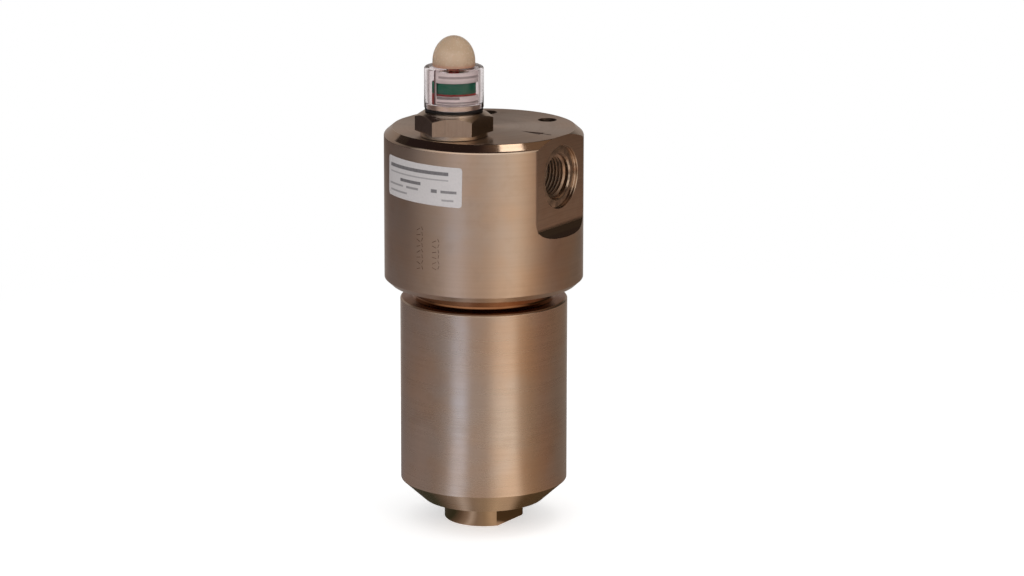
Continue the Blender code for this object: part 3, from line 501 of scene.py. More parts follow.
def filter_cloth():
    """Pale woven cloth with oil stains."""
    finish = Finish("pleated_cloth")
    x, y, z = finish.place()
    weave = finish.noise(finish.vector(x * 900, y * 900, z * 1400), 1.0, 2.0)
    soil = finish.cloud(60, 3.0, 0.6)
    tone = finish.mix(soil.eased(0.35, 0.75), (0.74, 0.71, 0.62), (0.55, 0.46, 0.33))
    return finish.give(
        Base_Color=tone,
        Roughness=0.80 + (weave - 0.5) * 0.2,
        Normal=finish.bump(weave, 0.00008, 0.6),
    )


COOL_BRONZE = (0.52, 0.42, 0.34)
WARM_BRONZE = (0.54, 0.39, 0.28)
HEAD_STEEL = turned_steel("head_turned_steel", COOL_BRONZE, WARM_BRONZE, 0.33, 0.6)
BOWL_STEEL = turned_steel("bowl_turned_steel", COOL_BRONZE, WARM_BRONZE, 0.26, 0.6)
EDGE_STEEL = turned_steel("chamfer_steel", COOL_BRONZE, WARM_BRONZE, 0.12, 0.3)
# Painted shade: the neck and shoulder are dark orange-brown, for the shade and inter-reflected
# colour in the gap under the head.
NECK_SHADE_STEEL = turned_steel("neck_steel_painted_shade", (0.30, 0.14, 0.065), (0.22, 0.09, 0.04), 0.18, 0.3)
RUNOUT_STEEL = milled_steel("runout_steel", (0.50, 0.37, 0.28), (0.47, 0.33, 0.24), 0.12)
FLAT_STEEL = milled_steel("port_flat_steel", (0.50, 0.37, 0.28), (0.47, 0.33, 0.24), 0.34)
HEX_STEEL = milled_steel("hexagon_steel", (0.56, 0.44, 0.35), (0.50, 0.38, 0.29), 0.15, "z")
RING_STEEL = turned_steel("indicator_turned_steel", (0.56, 0.47, 0.38), (0.52, 0.40, 0.30),
                          0.24, 0.4, INDICATOR.xy)
BORE_STEEL = cut_metal("port_bore_steel", (0.50, 0.38, 0.29), 0.20)
THREAD_STEEL = cut_metal("port_thread_steel", (0.56, 0.42, 0.32), 0.38)
# Painted shade: the tapped holes' metal is much darker than the bores, for the shade inside them.
HOLE_SHADE_STEEL = cut_metal("tapped_hole_steel_painted_shade", (0.16, 0.115, 0.085), 0.42)
ARROW_STEEL = cut_metal("engraved_steel", (0.22, 0.16, 0.13), 0.5)
MARK_STEEL = cut_metal("stamped_steel", (0.26, 0.16, 0.12), 0.5)
INNER_STEEL = cut_metal("inner_steel", (0.55, 0.52, 0.48), 0.34)
SPRING_STEEL = cut_metal("spring_steel", (0.48, 0.47, 0.46), 0.3)
BLACK_RUBBER = rubber("black_rubber", (0.012, 0.011, 0.011))
SEAL_RUBBER = rubber("barrel_seal_rubber", (0.012, 0.009, 0.008), 0.12)
BACKUP_PLASTIC = moulded("backup_ring_plastic", (0.80, 0.79, 0.74), (0.72, 0.70, 0.64), 0.5)
MAGNET = cut_metal("magnet_iron", (0.14, 0.14, 0.15), 0.45)
RED_PLASTIC = moulded("red_plastic", (0.40, 0.028, 0.017), (0.32, 0.020, 0.013), 0.45, 0.12)
# Painted light: the pin's red is brighter than the drum's, to make up for the shade under the cap.
PIN_BRIGHTENED_PLASTIC = moulded("red_pin_plastic_painted_light", (0.88, 0.07, 0.05), (0.80, 0.06, 0.04), 0.4)
GREEN_PLASTIC = moulded("green_plastic", (0.001, 0.17, 0.09), (0.002, 0.125, 0.07), 0.5, 0.08)
CLEAR = clear_plastic()
MILKY = milky_plastic()
LABEL = rating_label_paper()
FOIL = foil_print()
CLOTH = filter_cloth()


def spun(profile, steps, degrees=360, closed=False):
    """A skin swept by (radius, height) points about the upright axis."""
    shape = bmesh.new()
    points = [shape.verts.new((radius, 0, height)) for radius, height in profile]
    after = points[1:] + points[:1] if closed else points[1:]
    edges = [shape.edges.new(pair) for pair in zip(points, after)]
    bmesh.ops.spin(shape, geom=points + edges, cent=(0, 0, 0), axis=(0, 0, 1),
                   angle=math.radians(degrees), steps=steps, use_merge=degrees == 360)
    return shape


def turned(profile, steps=FINE, closed=False):
    """A solid of revolution with such a skin."""
    shape = spun(profile, steps, closed=closed)
    closed_up(shape)
    return shape


def coiled(shape, pitch, turns, steps):
    """Winds a shape of one face up the upright axis, with a number of steps a turn."""
    bmesh.ops.spin(shape, geom=shape.faces[:], cent=(0, 0, 0), axis=(0, 0, 1),
                   dvec=(0, 0, pitch / steps), angle=2 * math.pi * turns,
                   steps=int(steps * turns))


def closed_up(shape):
    """Merges doubles and points the faces outwards."""
    bmesh.ops.remove_doubles(shape, verts=shape.verts, dist=1e-6)
    bmesh.ops.dissolve_degenerate(shape, edges=shape.edges, dist=1e-7)
    bmesh.ops.recalc_face_normals(shape, faces=shape.faces)
    if shape.calc_volume(signed=True) < 0:
        bmesh.ops.reverse_faces(shape, faces=shape.faces)


def rounded(shape, geom, width, segments, affect="EDGES", clamp=False):
    """Bevels edges, or the corners of a sheet."""
    bmesh.ops.bevel(shape, geom=geom, offset=width, offset_type="OFFSET", segments=segments,
                    affect=affect, profile=0.5, clamp_overlap=clamp, material=-1)


def softened(shape, width, segments, limit, keep=None):
    """Rounds the edges whose faces meet at more than a limit in degrees."""
    limit = math.radians(limit)
    edges = [
        edge
        for edge in shape.edges
        if edge.is_manifold and edge.calc_face_angle() > limit and (keep is None or keep(edge))
    ]
    rounded(shape, edges, width, segments, clamp=True)


def moved(shape, *steps):
    """Applies turns and shifts in order."""
    for matrix in steps:
        bmesh.ops.transform(shape, matrix=matrix, verts=shape.verts)
    return shape


def shift(x, y, z):
    return Matrix.Translation((x, y, z))


def turn(degrees, axis):
    return Matrix.Rotation(math.radians(degrees), 4, axis)


def block(low, high):
    shape = bmesh.new()
    bmesh.ops.create_cube(shape, size=1)
    low, high = Vector(low), Vector(high)
    bmesh.ops.scale(shape, verts=shape.verts, vec=high - low)
    bmesh.ops.translate(shape, verts=shape.verts, vec=(low + high) / 2)
    return shape


def mesh_of(name, shape, finishes):
    mesh = bpy.data.meshes.new(name)
    shape.to_mesh(mesh)
    shape.free()
    for finish in finishes:
        mesh.materials.append(finish)
    return mesh


def placed(name, data):
    """A new object in the scene."""
    made = bpy.data.objects.new(name, data)
    bpy.context.scene.collection.objects.link(made)
    return made


def shown(mesh, body, nodes=(), smooth=28):
    """Makes a finished mesh a piece that rides on a body."""
    mesh.shade_smooth()
    mesh.set_sharp_from_angle(angle=math.radians(smooth))
    piece = placed(mesh.name, mesh)
    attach(piece, body)
    if nodes:
        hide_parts(*nodes)
    return piece


def weighted(piece):
    """Lets the large faces steer the shading round a cut."""
    modifier = piece.modifiers.new("Even shading", "WEIGHTED_NORMAL")
    modifier.keep_sharp = True
    modifier.weight = 100
    return piece


def carved(mesh, cutters):
    """Cuts shapes out of a mesh; each cutter brings the finishes of the faces it leaves."""
    blank = placed(mesh.name, mesh)
    tools = []
    for number, (shape, *finishes) in enumerate(cutters):
        tool = placed(f"cutter_{number}", mesh_of("cutter", shape, finishes))
        cut = blank.modifiers.new(tool.name, "BOOLEAN")
        cut.operation = "DIFFERENCE"
        cut.solver = "EXACT"
        cut.material_mode = "TRANSFER"
        cut.object = tool
        tools.append(tool)
    bpy.context.view_layer.update()
    graph = bpy.context.evaluated_depsgraph_get()
    made = bpy.data.meshes.new_from_object(blank.evaluated_get(graph))
    for tool in tools + [blank]:
        spent = tool.data
        bpy.data.objects.remove(tool)
        bpy.data.meshes.remove(spent)
    return made


def thread(wall, crest, pitch, foot, top, steps=64):
    """A screw thread's ridge on a wall, faded out at both ends over a share of a turn."""
    fade, root = 0.6, 0.00008
    sunk = wall + (root if wall > crest else -root)
    turns = (top - foot) / pitch - 1
    shape = bmesh.new()
    corners = [
        shape.verts.new((radius, 0, foot + share * pitch))
        for radius, share in ((sunk, 0.07), (crest, 0.42), (crest, 0.58), (sunk, 0.93))
    ]
    shape.faces.new(corners)
    coiled(shape, pitch, turns, steps)
    for vert in shape.verts:
        radius = math.hypot(vert.co.x, vert.co.y)
        around = math.atan2(vert.co.y, vert.co.x) / (2 * math.pi) % 1
        rise = (vert.co.z - foot) / pitch - 0.5
        along = around + round(rise - around)
        full = max(0.0, min(1.0, along / fade, (turns - along) / fade))
        scale = (sunk + (radius - sunk) * full) / radius
        vert.co.x *= scale
        vert.co.y *= scale
    closed_up(shape)
    return shape


def flat_cutter(side):
    """A milled flat that runs out through a quarter round at its foot."""
    foot = FLAT_FOOT - RUNOUT_RADIUS
    shape = block((PORT_FLAT_X, -0.06, foot), (0.07, 0.06, HEAD_TOP + 0.004))
    inner = [
        edge
        for edge in shape.edges
        if all(vert.co.x < 0.05 and vert.co.z < PORT_HEIGHT for vert in edge.verts)
    ]
    rounded(shape, inner, RUNOUT_RADIUS, 14)
    shape.normal_update()
    for face in shape.faces:
        low = face.calc_center_median().z < FLAT_FOOT + 0.001
        face.material_index = int(face.normal.x > -0.97 and low)
    return moved(shape, turn(0 if side > 0 else 180, "Z"))


def on_port(shape, side):
    """Turns an upright shape to look out of a port, with its zero at the flat."""
    return moved(shape, turn(90 * side, "Y"), shift(side * PORT_FLAT_X, 0, PORT_HEIGHT))


def port_cutter(side):
    """Spot face, chamfer, thread bore and drilled end of one port."""
    depth = PORT_FLAT_X - PASSAGE_X
    profile = [
        (0, 0.002),
        (0.0152, 0.002),
        (0.0152, 0.0),
        (SPOT_FACE_RADIUS, -0.0002),
        (SPOT_FACE_RADIUS, -SPOT_FACE + 0.0002),
        (0.0148, -SPOT_FACE),
        (0.0113, -SPOT_FACE),
        (0.0110, -SPOT_FACE - 0.0001),
        (PORT_ROOT, -SPOT_FACE - 0.0008),
        (PORT_ROOT, -PORT_THREAD_END),
        (PORT_CREST, -PORT_THREAD_END - 0.0008),
        (PORT_CREST, -depth),
        (0, -depth - 0.0056),
    ]
    return on_port(turned(profile, MEDIUM), side)


def rod_cutter(start, end, radius):
    """A drilling from one point to another."""
    start, end = Vector(start), Vector(end)
    run = end - start
    shape = bmesh.new()
    bmesh.ops.create_cone(shape, cap_ends=True, segments=48, radius1=radius, radius2=radius,
                          depth=run.length)
    aim = run.to_track_quat("Z", "Y").to_matrix().to_4x4()
    return moved(shape, aim, Matrix.Translation((start + end) / 2))


def indicator_port_cutter():
    """The stepped bore for the indicator's shank and pilot."""
    profile = [
        (0, 0.002),
        (0.0104, 0.002),
        (0.0104, 0.0004),
        (0.0100, -0.0001),
        (0.0100, -0.0163),
        (0.0090, -0.0163),
        (0.0090, -0.0250),
        (0, -0.0250),
    ]
    return moved(turned(profile, MEDIUM), Matrix.Translation(INDICATOR))


def hole_cutter(x, y):
    """A tapped hole: countersunk mouth, thread bore and drill point."""
    profile = [
        (0, 0.001),
        (0.0046, 0.001),
        (0.0046, 0.0),
        (HOLE_ROOT, -0.0006),
        (HOLE_ROOT, -HOLE_DEPTH + 0.003),
        (HOLE_CREST, -HOLE_DEPTH + 0.002),
        (HOLE_CREST, -HOLE_DEPTH),
        (0, -HOLE_DEPTH - 0.002),
    ]
    return moved(turned(profile, steps=48), shift(x, y, HEAD_TOP))


def outline_cutter(points, low, high):
    """A flat outline drawn out between two heights."""
    shape = bmesh.new()
    face = shape.faces.new([shape.verts.new((x, y, low)) for x, y in points])
    lifted = bmesh.ops.extrude_face_region(shape, geom=[face])["geom"]
    top = [item for item in lifted if isinstance(item, bmesh.types.BMVert)]
    bmesh.ops.translate(shape, verts=top, vec=(0, 0, high - low))
    closed_up(shape)
    return shape


def arrow_cutter():
    """The engraved flow arrow, which points from the inlet to the outlet."""
    tip, neck, tail = 0.0206, 0.0326, 0.0380
    wide, thin = 0.00235, 0.0005
    points = [(tip, 0), (neck, wide), (neck, thin), (tail, thin)]
    points += [(x, -y) for x, y in points[:0:-1]]
    return outline_cutter(points, HEAD_TOP - ENGRAVING, HEAD_TOP + 0.001)


def stroke_cutter(angle, height, length, lean):
    """One stamped stroke in the head's side, drawn as a slim wedge."""
    shape = block((-0.0002, -0.00013, -length / 2), (0.0006, 0.00013, length / 2))
    return moved(shape, turn(lean, "X"), shift(HEAD_RADIUS, 0, height), turn(angle, "Z"))


def stamped_strokes():
    """Two upright columns of plain stamped strokes."""
    columns = (
        (-95.6, 0.1318, 8, 0.0027, (18, -24, 10, 32)),
        (-84.7, 0.1328, 6, 0.0026, (-20, 26, -8, 14)),
    )
    made = []
    for angle, foot, count, step, leans in columns:
        for number in range(count):
            lean = leans[number % len(leans)]
            height = foot + number * step
            made.append((stroke_cutter(angle - 1.3, height, 0.0024, 90 + lean), MARK_STEEL))
            made.append((stroke_cutter(angle + 1.4, height + 0.0007, 0.0018, lean), MARK_STEEL))
    return made


def head():
    """The turned head with its flats, ports, passages, tapped holes and engraving."""
    length, parts = 0.0695, 12
    wall = [HEAD_TOP - TOP_EDGE_DROP - length * part / parts for part in range(1, parts)]
    profile = [
        (0, HEAD_TOP),
        (0.012, HEAD_TOP),
        (0.028, HEAD_TOP),
        (TOP_EDGE_RADIUS, HEAD_TOP),
        (HEAD_RADIUS, HEAD_TOP - TOP_EDGE_DROP),
        *[(HEAD_RADIUS, height) for height in wall],
        (HEAD_RADIUS, HEAD_BOTTOM + LOWER_EDGE_RISE),
        (LOWER_EDGE_RADIUS, HEAD_BOTTOM),
        (NECK_ROOT + 0.0006, HEAD_BOTTOM),
        (NECK_ROOT, HEAD_BOTTOM + 0.0006),
        (NECK_ROOT, THREAD_TOP),
        (NECK_CREST, THREAD_TOP + 0.0003),
        (SEAL_BORE, THREAD_TOP + 0.0013),
        (SEAL_BORE, CHAMBER_TOP),
        (SPIGOT_RADIUS, CHAMBER_TOP),
        (SPIGOT_RADIUS, SPIGOT_END + 0.001),
        (SPIGOT_RADIUS - 0.001, SPIGOT_END),
        (CLEAN_BORE, SPIGOT_END),
        (CLEAN_BORE, PORT_HEIGHT + CLEAN_BORE),
        (0, PORT_HEIGHT + CLEAN_BORE),
    ]
    shape = turned(profile)
    softened(shape, 0.0008, 5, 25, lambda edge: all(
        abs(vert.co.z - HEAD_TOP + TOP_EDGE_DROP) < 1e-5 for vert in edge.verts
    ))
    softened(shape, 0.00025, 3, 25)
    chamber_edge = (HEAD_RADIUS - 0.006) ** 2
    for face in shape.faces:
        middle = face.calc_center_median()
        inside = middle.x**2 + middle.y**2 < chamber_edge and middle.z < HEAD_TOP - 0.0001
        face.material_index = int(inside and middle.z > HEAD_BOTTOM + 0.0001)
        at_edge = math.hypot(middle.x, middle.y) > TOP_EDGE_RADIUS - 0.0003
        if at_edge and middle.z > HEAD_TOP - TOP_EDGE_DROP - 0.001:
            face.material_index = 2
    blank = mesh_of("head", shape, [HEAD_STEEL, BORE_STEEL, EDGE_STEEL])
    cutters = [(flat_cutter(side), FLAT_STEEL, RUNOUT_STEEL) for side in (1, -1)]
    cutters += [(port_cutter(side), BORE_STEEL) for side in (1, -1)]
    passages = (
        ((PASSAGE_X, 0, CHAMBER_TOP - 0.002), (PASSAGE_X, 0, PORT_HEIGHT), DIRTY_PASSAGE),
        ((-PASSAGE_X - 0.002, 0, PORT_HEIGHT), (0, 0, PORT_HEIGHT), CLEAN_BORE),
    )
    cutters += [(rod_cutter(*passage), BORE_STEEL) for passage in passages]
    cutters.append((indicator_port_cutter(), BORE_STEEL))
    cutters += [(hole_cutter(x, y), HOLE_SHADE_STEEL) for x, y in HOLE_PLACES]
    cutters.append((arrow_cutter(), ARROW_STEEL))
    cutters += stamped_strokes()
    made = carved(blank, cutters)
    made.name = "head"
    weighted(shown(made, "head", ["filter_head"]))


def threads():
    """Screw threads in the ports, the tapped holes and the head's mouth, and on the bowl."""

    def show(name, ridge, finish, body="head"):
        shown(mesh_of(name, ridge, [finish]), body, smooth=20)

    mouth, end = -0.0023, -0.0170
    for side, name in ((1, "inlet"), (-1, "outlet")):
        ridge = thread(PORT_ROOT, PORT_CREST, PORT_THREAD_PITCH, end, mouth)
        show(f"{name}_port_thread", on_port(ridge, side), THREAD_STEEL)
    for (x, y), name in zip(HOLE_PLACES, ("right", "left")):
        ridge = thread(HOLE_ROOT, HOLE_CREST, HOLE_PITCH, -0.0130, -0.0004, 32)
        moved(ridge, shift(x, y, HEAD_TOP))
        show(f"mounting_thread_{name}", ridge, HOLE_SHADE_STEEL)
    foot, crest = HEAD_BOTTOM + 0.0005, NECK_CREST + 0.0001
    ridge = thread(NECK_ROOT, crest, NECK_PITCH, foot, THREAD_TOP, MEDIUM)
    show("head_neck_thread", ridge, BORE_STEEL)
    foot, top = HEAD_BOTTOM + 0.0006, THREAD_TOP - 0.0002
    ridge = thread(BOWL_ROOT, BOWL_CREST, NECK_PITCH, foot, top, MEDIUM)
    show("bowl_neck_thread", ridge, NECK_SHADE_STEEL, "bowl")


def bowl():
    """Boss with its wrench flats, taper, barrel and neck."""
    fillet = [
        (
            BOWL_BORE - FLOOR_FILLET + FLOOR_FILLET * math.cos(math.radians(angle)),
            BOWL_FLOOR + FLOOR_FILLET + FLOOR_FILLET * math.sin(math.radians(angle)),
        )
        for angle in range(-90, 1, 9)
    ]
    profile = [
        (0, BOWL_FLOOR),
        *fillet,
        (BOWL_BORE, NECK_TOP),
        (LAND_RADIUS - 0.001, NECK_TOP),
        (LAND_RADIUS, NECK_TOP - 0.001),
        (LAND_RADIUS, RING_GROOVE[1]),
        (RING_GROOVE_RADIUS, RING_GROOVE[1]),
        (RING_GROOVE_RADIUS, RING_GROOVE[0]),
        (LAND_RADIUS, RING_GROOVE[0]),
        (LAND_RADIUS, THREAD_TOP),
        (BOWL_ROOT, THREAD_TOP - 0.0005),
        (BOWL_ROOT, SHOULDER + 0.0022),
        (BOWL_ROOT + 0.0004, SHOULDER + 0.0010),
        (BOWL_ROOT + 0.0016, SHOULDER),
        (BOWL_RADIUS - 0.0008, SHOULDER),
        (BOWL_RADIUS, SHOULDER - 0.0008),
        (BOWL_RADIUS, 0.080),
        (BOWL_RADIUS, 0.050),
        (BOWL_RADIUS, TAPER_TOP),
        (TAPER_FOOT_RADIUS, BOSS_HEIGHT),
        (BOSS_RADIUS, BOSS_HEIGHT),
        (BOSS_RADIUS, 0.0006),
        (BOSS_RADIUS - 0.0006, 0),
        (0, 0),
    ]
    shape = turned(profile)
    softened(shape, 0.0002, 3, 25)
    for face in shape.faces:
        middle = face.calc_center_median()
        outer = BOWL_ROOT - 0.001 < math.hypot(middle.x, middle.y) < BOWL_RADIUS - 0.0001
        # The shoulder and neck take the steel with painted shade for the gap under the head.
        face.material_index = int(outer and middle.z > SHOULDER - 0.0001)
        on_boss = math.hypot(middle.x, middle.y) > BOSS_RADIUS - 0.001
        if on_boss and middle.z < BOSS_HEIGHT - 0.0001:
            face.material_index = 2
    blank = mesh_of("bowl", shape, [BOWL_STEEL, NECK_SHADE_STEEL, EDGE_STEEL])
    far = 0.03
    flats = [
        (block((low, -far, -0.002), (high, far, BOSS_HEIGHT)), RUNOUT_STEEL)
        for low, high in ((BOSS_HALF_FLATS, far), (-far, -BOSS_HALF_FLATS))
    ]
    made = carved(blank, flats)
    made.name = "bowl_body"
    weighted(shown(made, "bowl", ["bowl"]))


def indicator_body():
    """Collar, hexagon, barrel spigot, shank and pilot."""
    blank = HEX_ACROSS_FLATS / math.sqrt(3) + 0.002
    profile = [
        (0, BODY_TOP),
        (BARREL_SPIGOT, BODY_TOP),
        (BARREL_SPIGOT, HEX_TOP),
        (HEX_LAND, HEX_TOP),
        (blank, HEX_TOP - (blank - HEX_LAND) * math.tan(math.radians(HEX_TOP_ANGLE))),
        (blank, HEX_FOOT),
        (COLLAR_RADIUS, HEX_FOOT),
        (COLLAR_RADIUS, SEAT_GAP),
        (0.0141, SEAT_GAP),
        (0.0141, 0.0022),
        (0.0119, 0.0022),
        (0.0119, SEAT_GAP),
        (SHANK_RADIUS, SEAT_GAP),
        (SHANK_RADIUS, SHANK_END),
        (PILOT_RADIUS, SHANK_END),
        (PILOT_RADIUS, -0.0190),
        (0.0071, -0.0190),
        (0.0071, -0.0210),
        (PILOT_RADIUS, -0.0210),
        (PILOT_RADIUS, PILOT_END),
        (PISTON_BORE, PILOT_END),
        (PISTON_BORE, 0.0051),
        (MAGNET_BORE, 0.0051),
        (MAGNET_BORE, 0.0135),
        (0, 0.0135),
    ]
    shape = turned(profile, steps=144)
    mesh = mesh_of("indicator_body", shape, [RING_STEEL])
    reach = HEX_ACROSS_FLATS
    cutters = [
        (moved(block((reach / 2, -reach, -0.0015), (reach, reach, HEX_TOP + 0.002)),
               turn(60 * side, "Z")), HEX_STEEL)
        for side in range(6)
    ]
    mesh = carved(mesh, cutters)
    mesh.name = "indicator_hexagon"
    mesh.transform(Matrix.Translation(INDICATOR))
    piece = shown(mesh, "head", ["indicator_body"])
    edge = piece.modifiers.new("Edge", "BEVEL")
    edge.width = 0.00018
    edge.segments = 2
    edge.limit_method = "ANGLE"
    edge.angle_limit = math.radians(35)
    weighted(piece)


def on_indicator(name, shape, finish, body, nodes):
    """Shows a shape that was drawn about the indicator's own axis."""
    moved(shape, Matrix.Translation(INDICATOR))
    return shown(mesh_of(name, shape, [finish]), body, nodes)


def barrel():
    """Clear barrel with its nipple, and the seal under it."""
    nipple, stem_hole = 0.00875, 0.0028
    profile = [
        (stem_hole, NIPPLE_TOP),
        (nipple, NIPPLE_TOP),
        (nipple, BARREL_TOP),
        (BARREL_RADIUS, BARREL_TOP),
        (BARREL_RADIUS, BARREL_FOOT),
        (BARREL_SKIRT, BARREL_FOOT),
        (BARREL_SKIRT, BARREL_STEP),
        (BARREL_BORE, BARREL_STEP),
        (BARREL_BORE, BARREL_CEILING),
        (stem_hole, BARREL_CEILING),
    ]
    shape = turned(profile, 144, closed=True)
    softened(shape, 0.0011, 6, 25, lambda edge: all(
        vert.co.z > BARREL_TOP - 1e-5 and math.hypot(vert.co.x, vert.co.y) > 0.0135
        for vert in edge.verts
    ))
    softened(shape, 0.00012, 2, 60)
    on_indicator("clear_barrel", shape, CLEAR, "head", ["indicator_barrel"])

    foot = HEX_TOP + SEAT_GAP
    top = foot + 0.0014
    rim = 0.0137
    seal = turned([(BARREL_SKIRT, foot), (rim, foot), (rim, top), (BARREL_SKIRT, top)],
                  MEDIUM, closed=True)
    softened(seal, 0.0004, 4, 60)
    on_indicator("barrel_seal_ring", seal, SEAL_RUBBER, "head", ["barrel_seal"])


def foil():
    """Printed foil: part of a tube with a long window."""
    heights = (FOIL_FOOT, *WINDOW, BARREL_CEILING - SEAT_GAP)
    shape = spun([(FOIL_RADIUS, height) for height in heights], FOIL_ARC // 2, FOIL_ARC)
    opening = []
    for face in shape.faces:
        middle = face.calc_center_median()
        angle = math.degrees(math.atan2(middle.y, middle.x)) % 360
        if WINDOW[0] < middle.z < WINDOW[1] and FOIL_POST < angle < FOIL_ARC - FOIL_POST:
            opening.append(face)
    bmesh.ops.delete(shape, geom=opening, context="FACES")
    bmesh.ops.recalc_face_normals(shape, faces=shape.faces)
    moved(shape, turn(FOIL_START, "Z"))
    piece = on_indicator("scale_foil_print", shape, FOIL, "head", ["scale_foil"])
    wall = piece.modifiers.new("Thickness", "SOLIDIFY")
    wall.thickness = 0.0003
    wall.offset = -1


def drum():
    """Red drum with the green band that slips over it."""
    inner, seat = 0.00825, 0.00935
    profile = [
        (0, 0.0199),
        (inner, 0.0199),
        (inner, DRUM_TOP),
        (seat, DRUM_TOP),
        (seat, DRUM_SPLIT),
        (DRUM_RADIUS, DRUM_SPLIT),
        (DRUM_RADIUS, BARREL_STEP),
        (inner, BARREL_STEP),
        (inner, 0.0187),
        (0, 0.0187),
    ]
    shape = turned(profile, MEDIUM)
    softened(shape, 0.0002, 2, 60)
    on_indicator("red_drum", shape, RED_PLASTIC, "drum", ["colour_drum"])
    foot, sleeve = DRUM_SPLIT + 0.0001, seat + SEAT_GAP
    band = turned([(sleeve, foot), (DRUM_RADIUS, foot), (DRUM_RADIUS, DRUM_TOP),
                   (sleeve, DRUM_TOP)], MEDIUM, closed=True)
    softened(band, 0.00015, 2, 60)
    on_indicator("green_drum_band", band, GREEN_PLASTIC, "drum", ["green_band"])


def button_and_cap():
    """Red reset button under its milky dome."""
    profile = [
        (0, 0.0436),
        (0.0040, 0.0435),
        (0.0055, 0.0430),
        (0.0055, 0.0411),
        (0.0025, 0.0411),
        (0.0025, 0.0275),
        (0, 0.0275),
    ]
    shape = turned(profile, MEDIUM)
    softened(shape, 0.0003, 3, 40)
    on_indicator("red_reset_button", shape, PIN_BRIGHTENED_PLASTIC, "button", ["reset_button"])

    inner, outer, wall, rise = 0.00905, 0.01005, 0.001, 0.012
    steps = 20
    arc = [math.radians(90 - 90 * step / steps) for step in range(steps + 1)]

    def dome(radius, height):
        return [(radius * math.cos(angle), NIPPLE_TOP + height * math.sin(angle)) for angle in arc]

    outside = dome(outer, rise)
    inside = dome(inner, rise - wall)
    foot = BARREL_TOP + SEAT_GAP
    profile = [
        (0, outside[0][1]),
        *outside[1:],
        (outer, foot + 0.0008),
        (outer, foot),
        (inner, foot),
        *inside[:0:-1],
        (0, inside[0][1]),
    ]
    shape = turned(profile, steps=128)
    on_indicator("milky_cap", shape, MILKY, "cap", ["protective_cap"])


def spring(node, wire, turns):
    """A coil of wire that fills the node's box, about the indicator's axis."""
    low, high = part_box(node)
    length = high.z - low.z
    shape = bmesh.new()
    bmesh.ops.create_circle(shape, cap_ends=True, segments=12, radius=wire / 2)
    moved(shape, turn(90, "X"), shift((high.x - low.x - wire) / 2, 0, low.z + wire / 2))
    coiled(shape, (length - wire) / turns, turns, 32)
    moved(shape, shift(INDICATOR.x, INDICATOR.y, 0))
    closed_up(shape)
    mesh = mesh_of(f"{node}_coil", shape, [SPRING_STEEL])
    piece = shown(mesh, "head", [node], 40)
    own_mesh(piece)


def springs():
    """The piston's range spring and the button's return spring."""
    spring("range_spring", 0.0008, 6)
    spring("button_spring", 0.0006, 3)


def rating_label():
    """A thin label that follows the head's wall."""
    corner, thick, tilt = 0.0015, 0.00012, -1.0
    shape = bmesh.new()
    bmesh.ops.create_grid(shape, x_segments=1, y_segments=1, size=0.5)
    bmesh.ops.scale(shape, verts=shape.verts, vec=(LABEL_WIDTH, LABEL_HEIGHT, 1))
    rounded(shape, shape.verts[:], corner, 6, "VERTICES")
    strips = 48
    for number in range(1, strips):
        x = LABEL_WIDTH * (number / strips - 0.5)
        bmesh.ops.bisect_plane(
            shape,
            geom=shape.verts[:] + shape.edges[:] + shape.faces[:],
            plane_co=(x, 0, 0),
            plane_no=(1, 0, 0),
        )
    lifted = bmesh.ops.extrude_face_region(shape, geom=shape.faces[:])["geom"]
    top = [item for item in lifted if isinstance(item, bmesh.types.BMVert)]
    bmesh.ops.translate(shape, verts=top, vec=(0, 0, thick))
    moved(shape, turn(tilt, "Z"))
    for vert in shape.verts:
        angle = math.radians(LABEL_AZIMUTH) + vert.co.x / HEAD_RADIUS
        radius = HEAD_RADIUS + 0.00002 + vert.co.z
        rise = LABEL_LEVEL + vert.co.y
        vert.co = (radius * math.cos(angle), radius * math.sin(angle), rise)
    closed_up(shape)
    shown(mesh_of("rating_label", shape, [LABEL]), "head")


def dress_inner_nodes():
    """Gives the solids that stay a finish of their own."""
    finishes = (
        (BLACK_RUBBER, "bowl_seal_ring", "element_seal"),
        (BLACK_RUBBER, "indicator_flange_seal", "indicator_shank_seal"),
        (BACKUP_PLASTIC, "bowl_backup_ring"),
        (INNER_STEEL, "element_top_cap", "element_core", "element_bottom_cap"),
        (INNER_STEEL, "piston_retainer", "dp_piston"),
        (CLOTH, "element_pleats"),
        (MAGNET, "piston_magnet", "drum_magnet"),
    )
    for finish, *nodes in finishes:
        for node in nodes:
            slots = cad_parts[node].data.materials
            slots.clear()
            slots.append(finish)


head()
threads()
bowl()
indicator_body()
barrel()
foil()
drum()
button_and_cap()
springs()
rating_label()
dress_inner_nodes()


def towards(azimuth, elevation=0.0):
    """A direction seen from the object, in degrees to the right of the camera."""
    angle = VIEW_AZIMUTH + math.radians(azimuth)
    level = math.radians(elevation)
    return Vector((math.sin(angle) * math.cos(level), -math.cos(angle) * math.cos(level),
                   math.sin(level)))


def facing(obj, place):
    """Puts a lamp or the camera at a place and turns it to the object."""
    obj.location = place
    obj.rotation_mode = "QUATERNION"
    obj.rotation_quaternion = (place - AIM).to_track_quat("Z", "Y")


def softbox(name, azimuth, elevation, distance, width, height, radiance, colour):
    """A soft lamp, whose strength is given as the brightness of its face."""
    lamp = bpy.data.lights.new(name, "AREA")
    lamp.shape = "RECTANGLE"
    lamp.size = width
    lamp.size_y = height
    lamp.energy = radiance * math.pi * width * height
    lamp.color = colour
    obj = placed(name, lamp)
    facing(obj, AIM + towards(azimuth, elevation) * distance)
    return obj


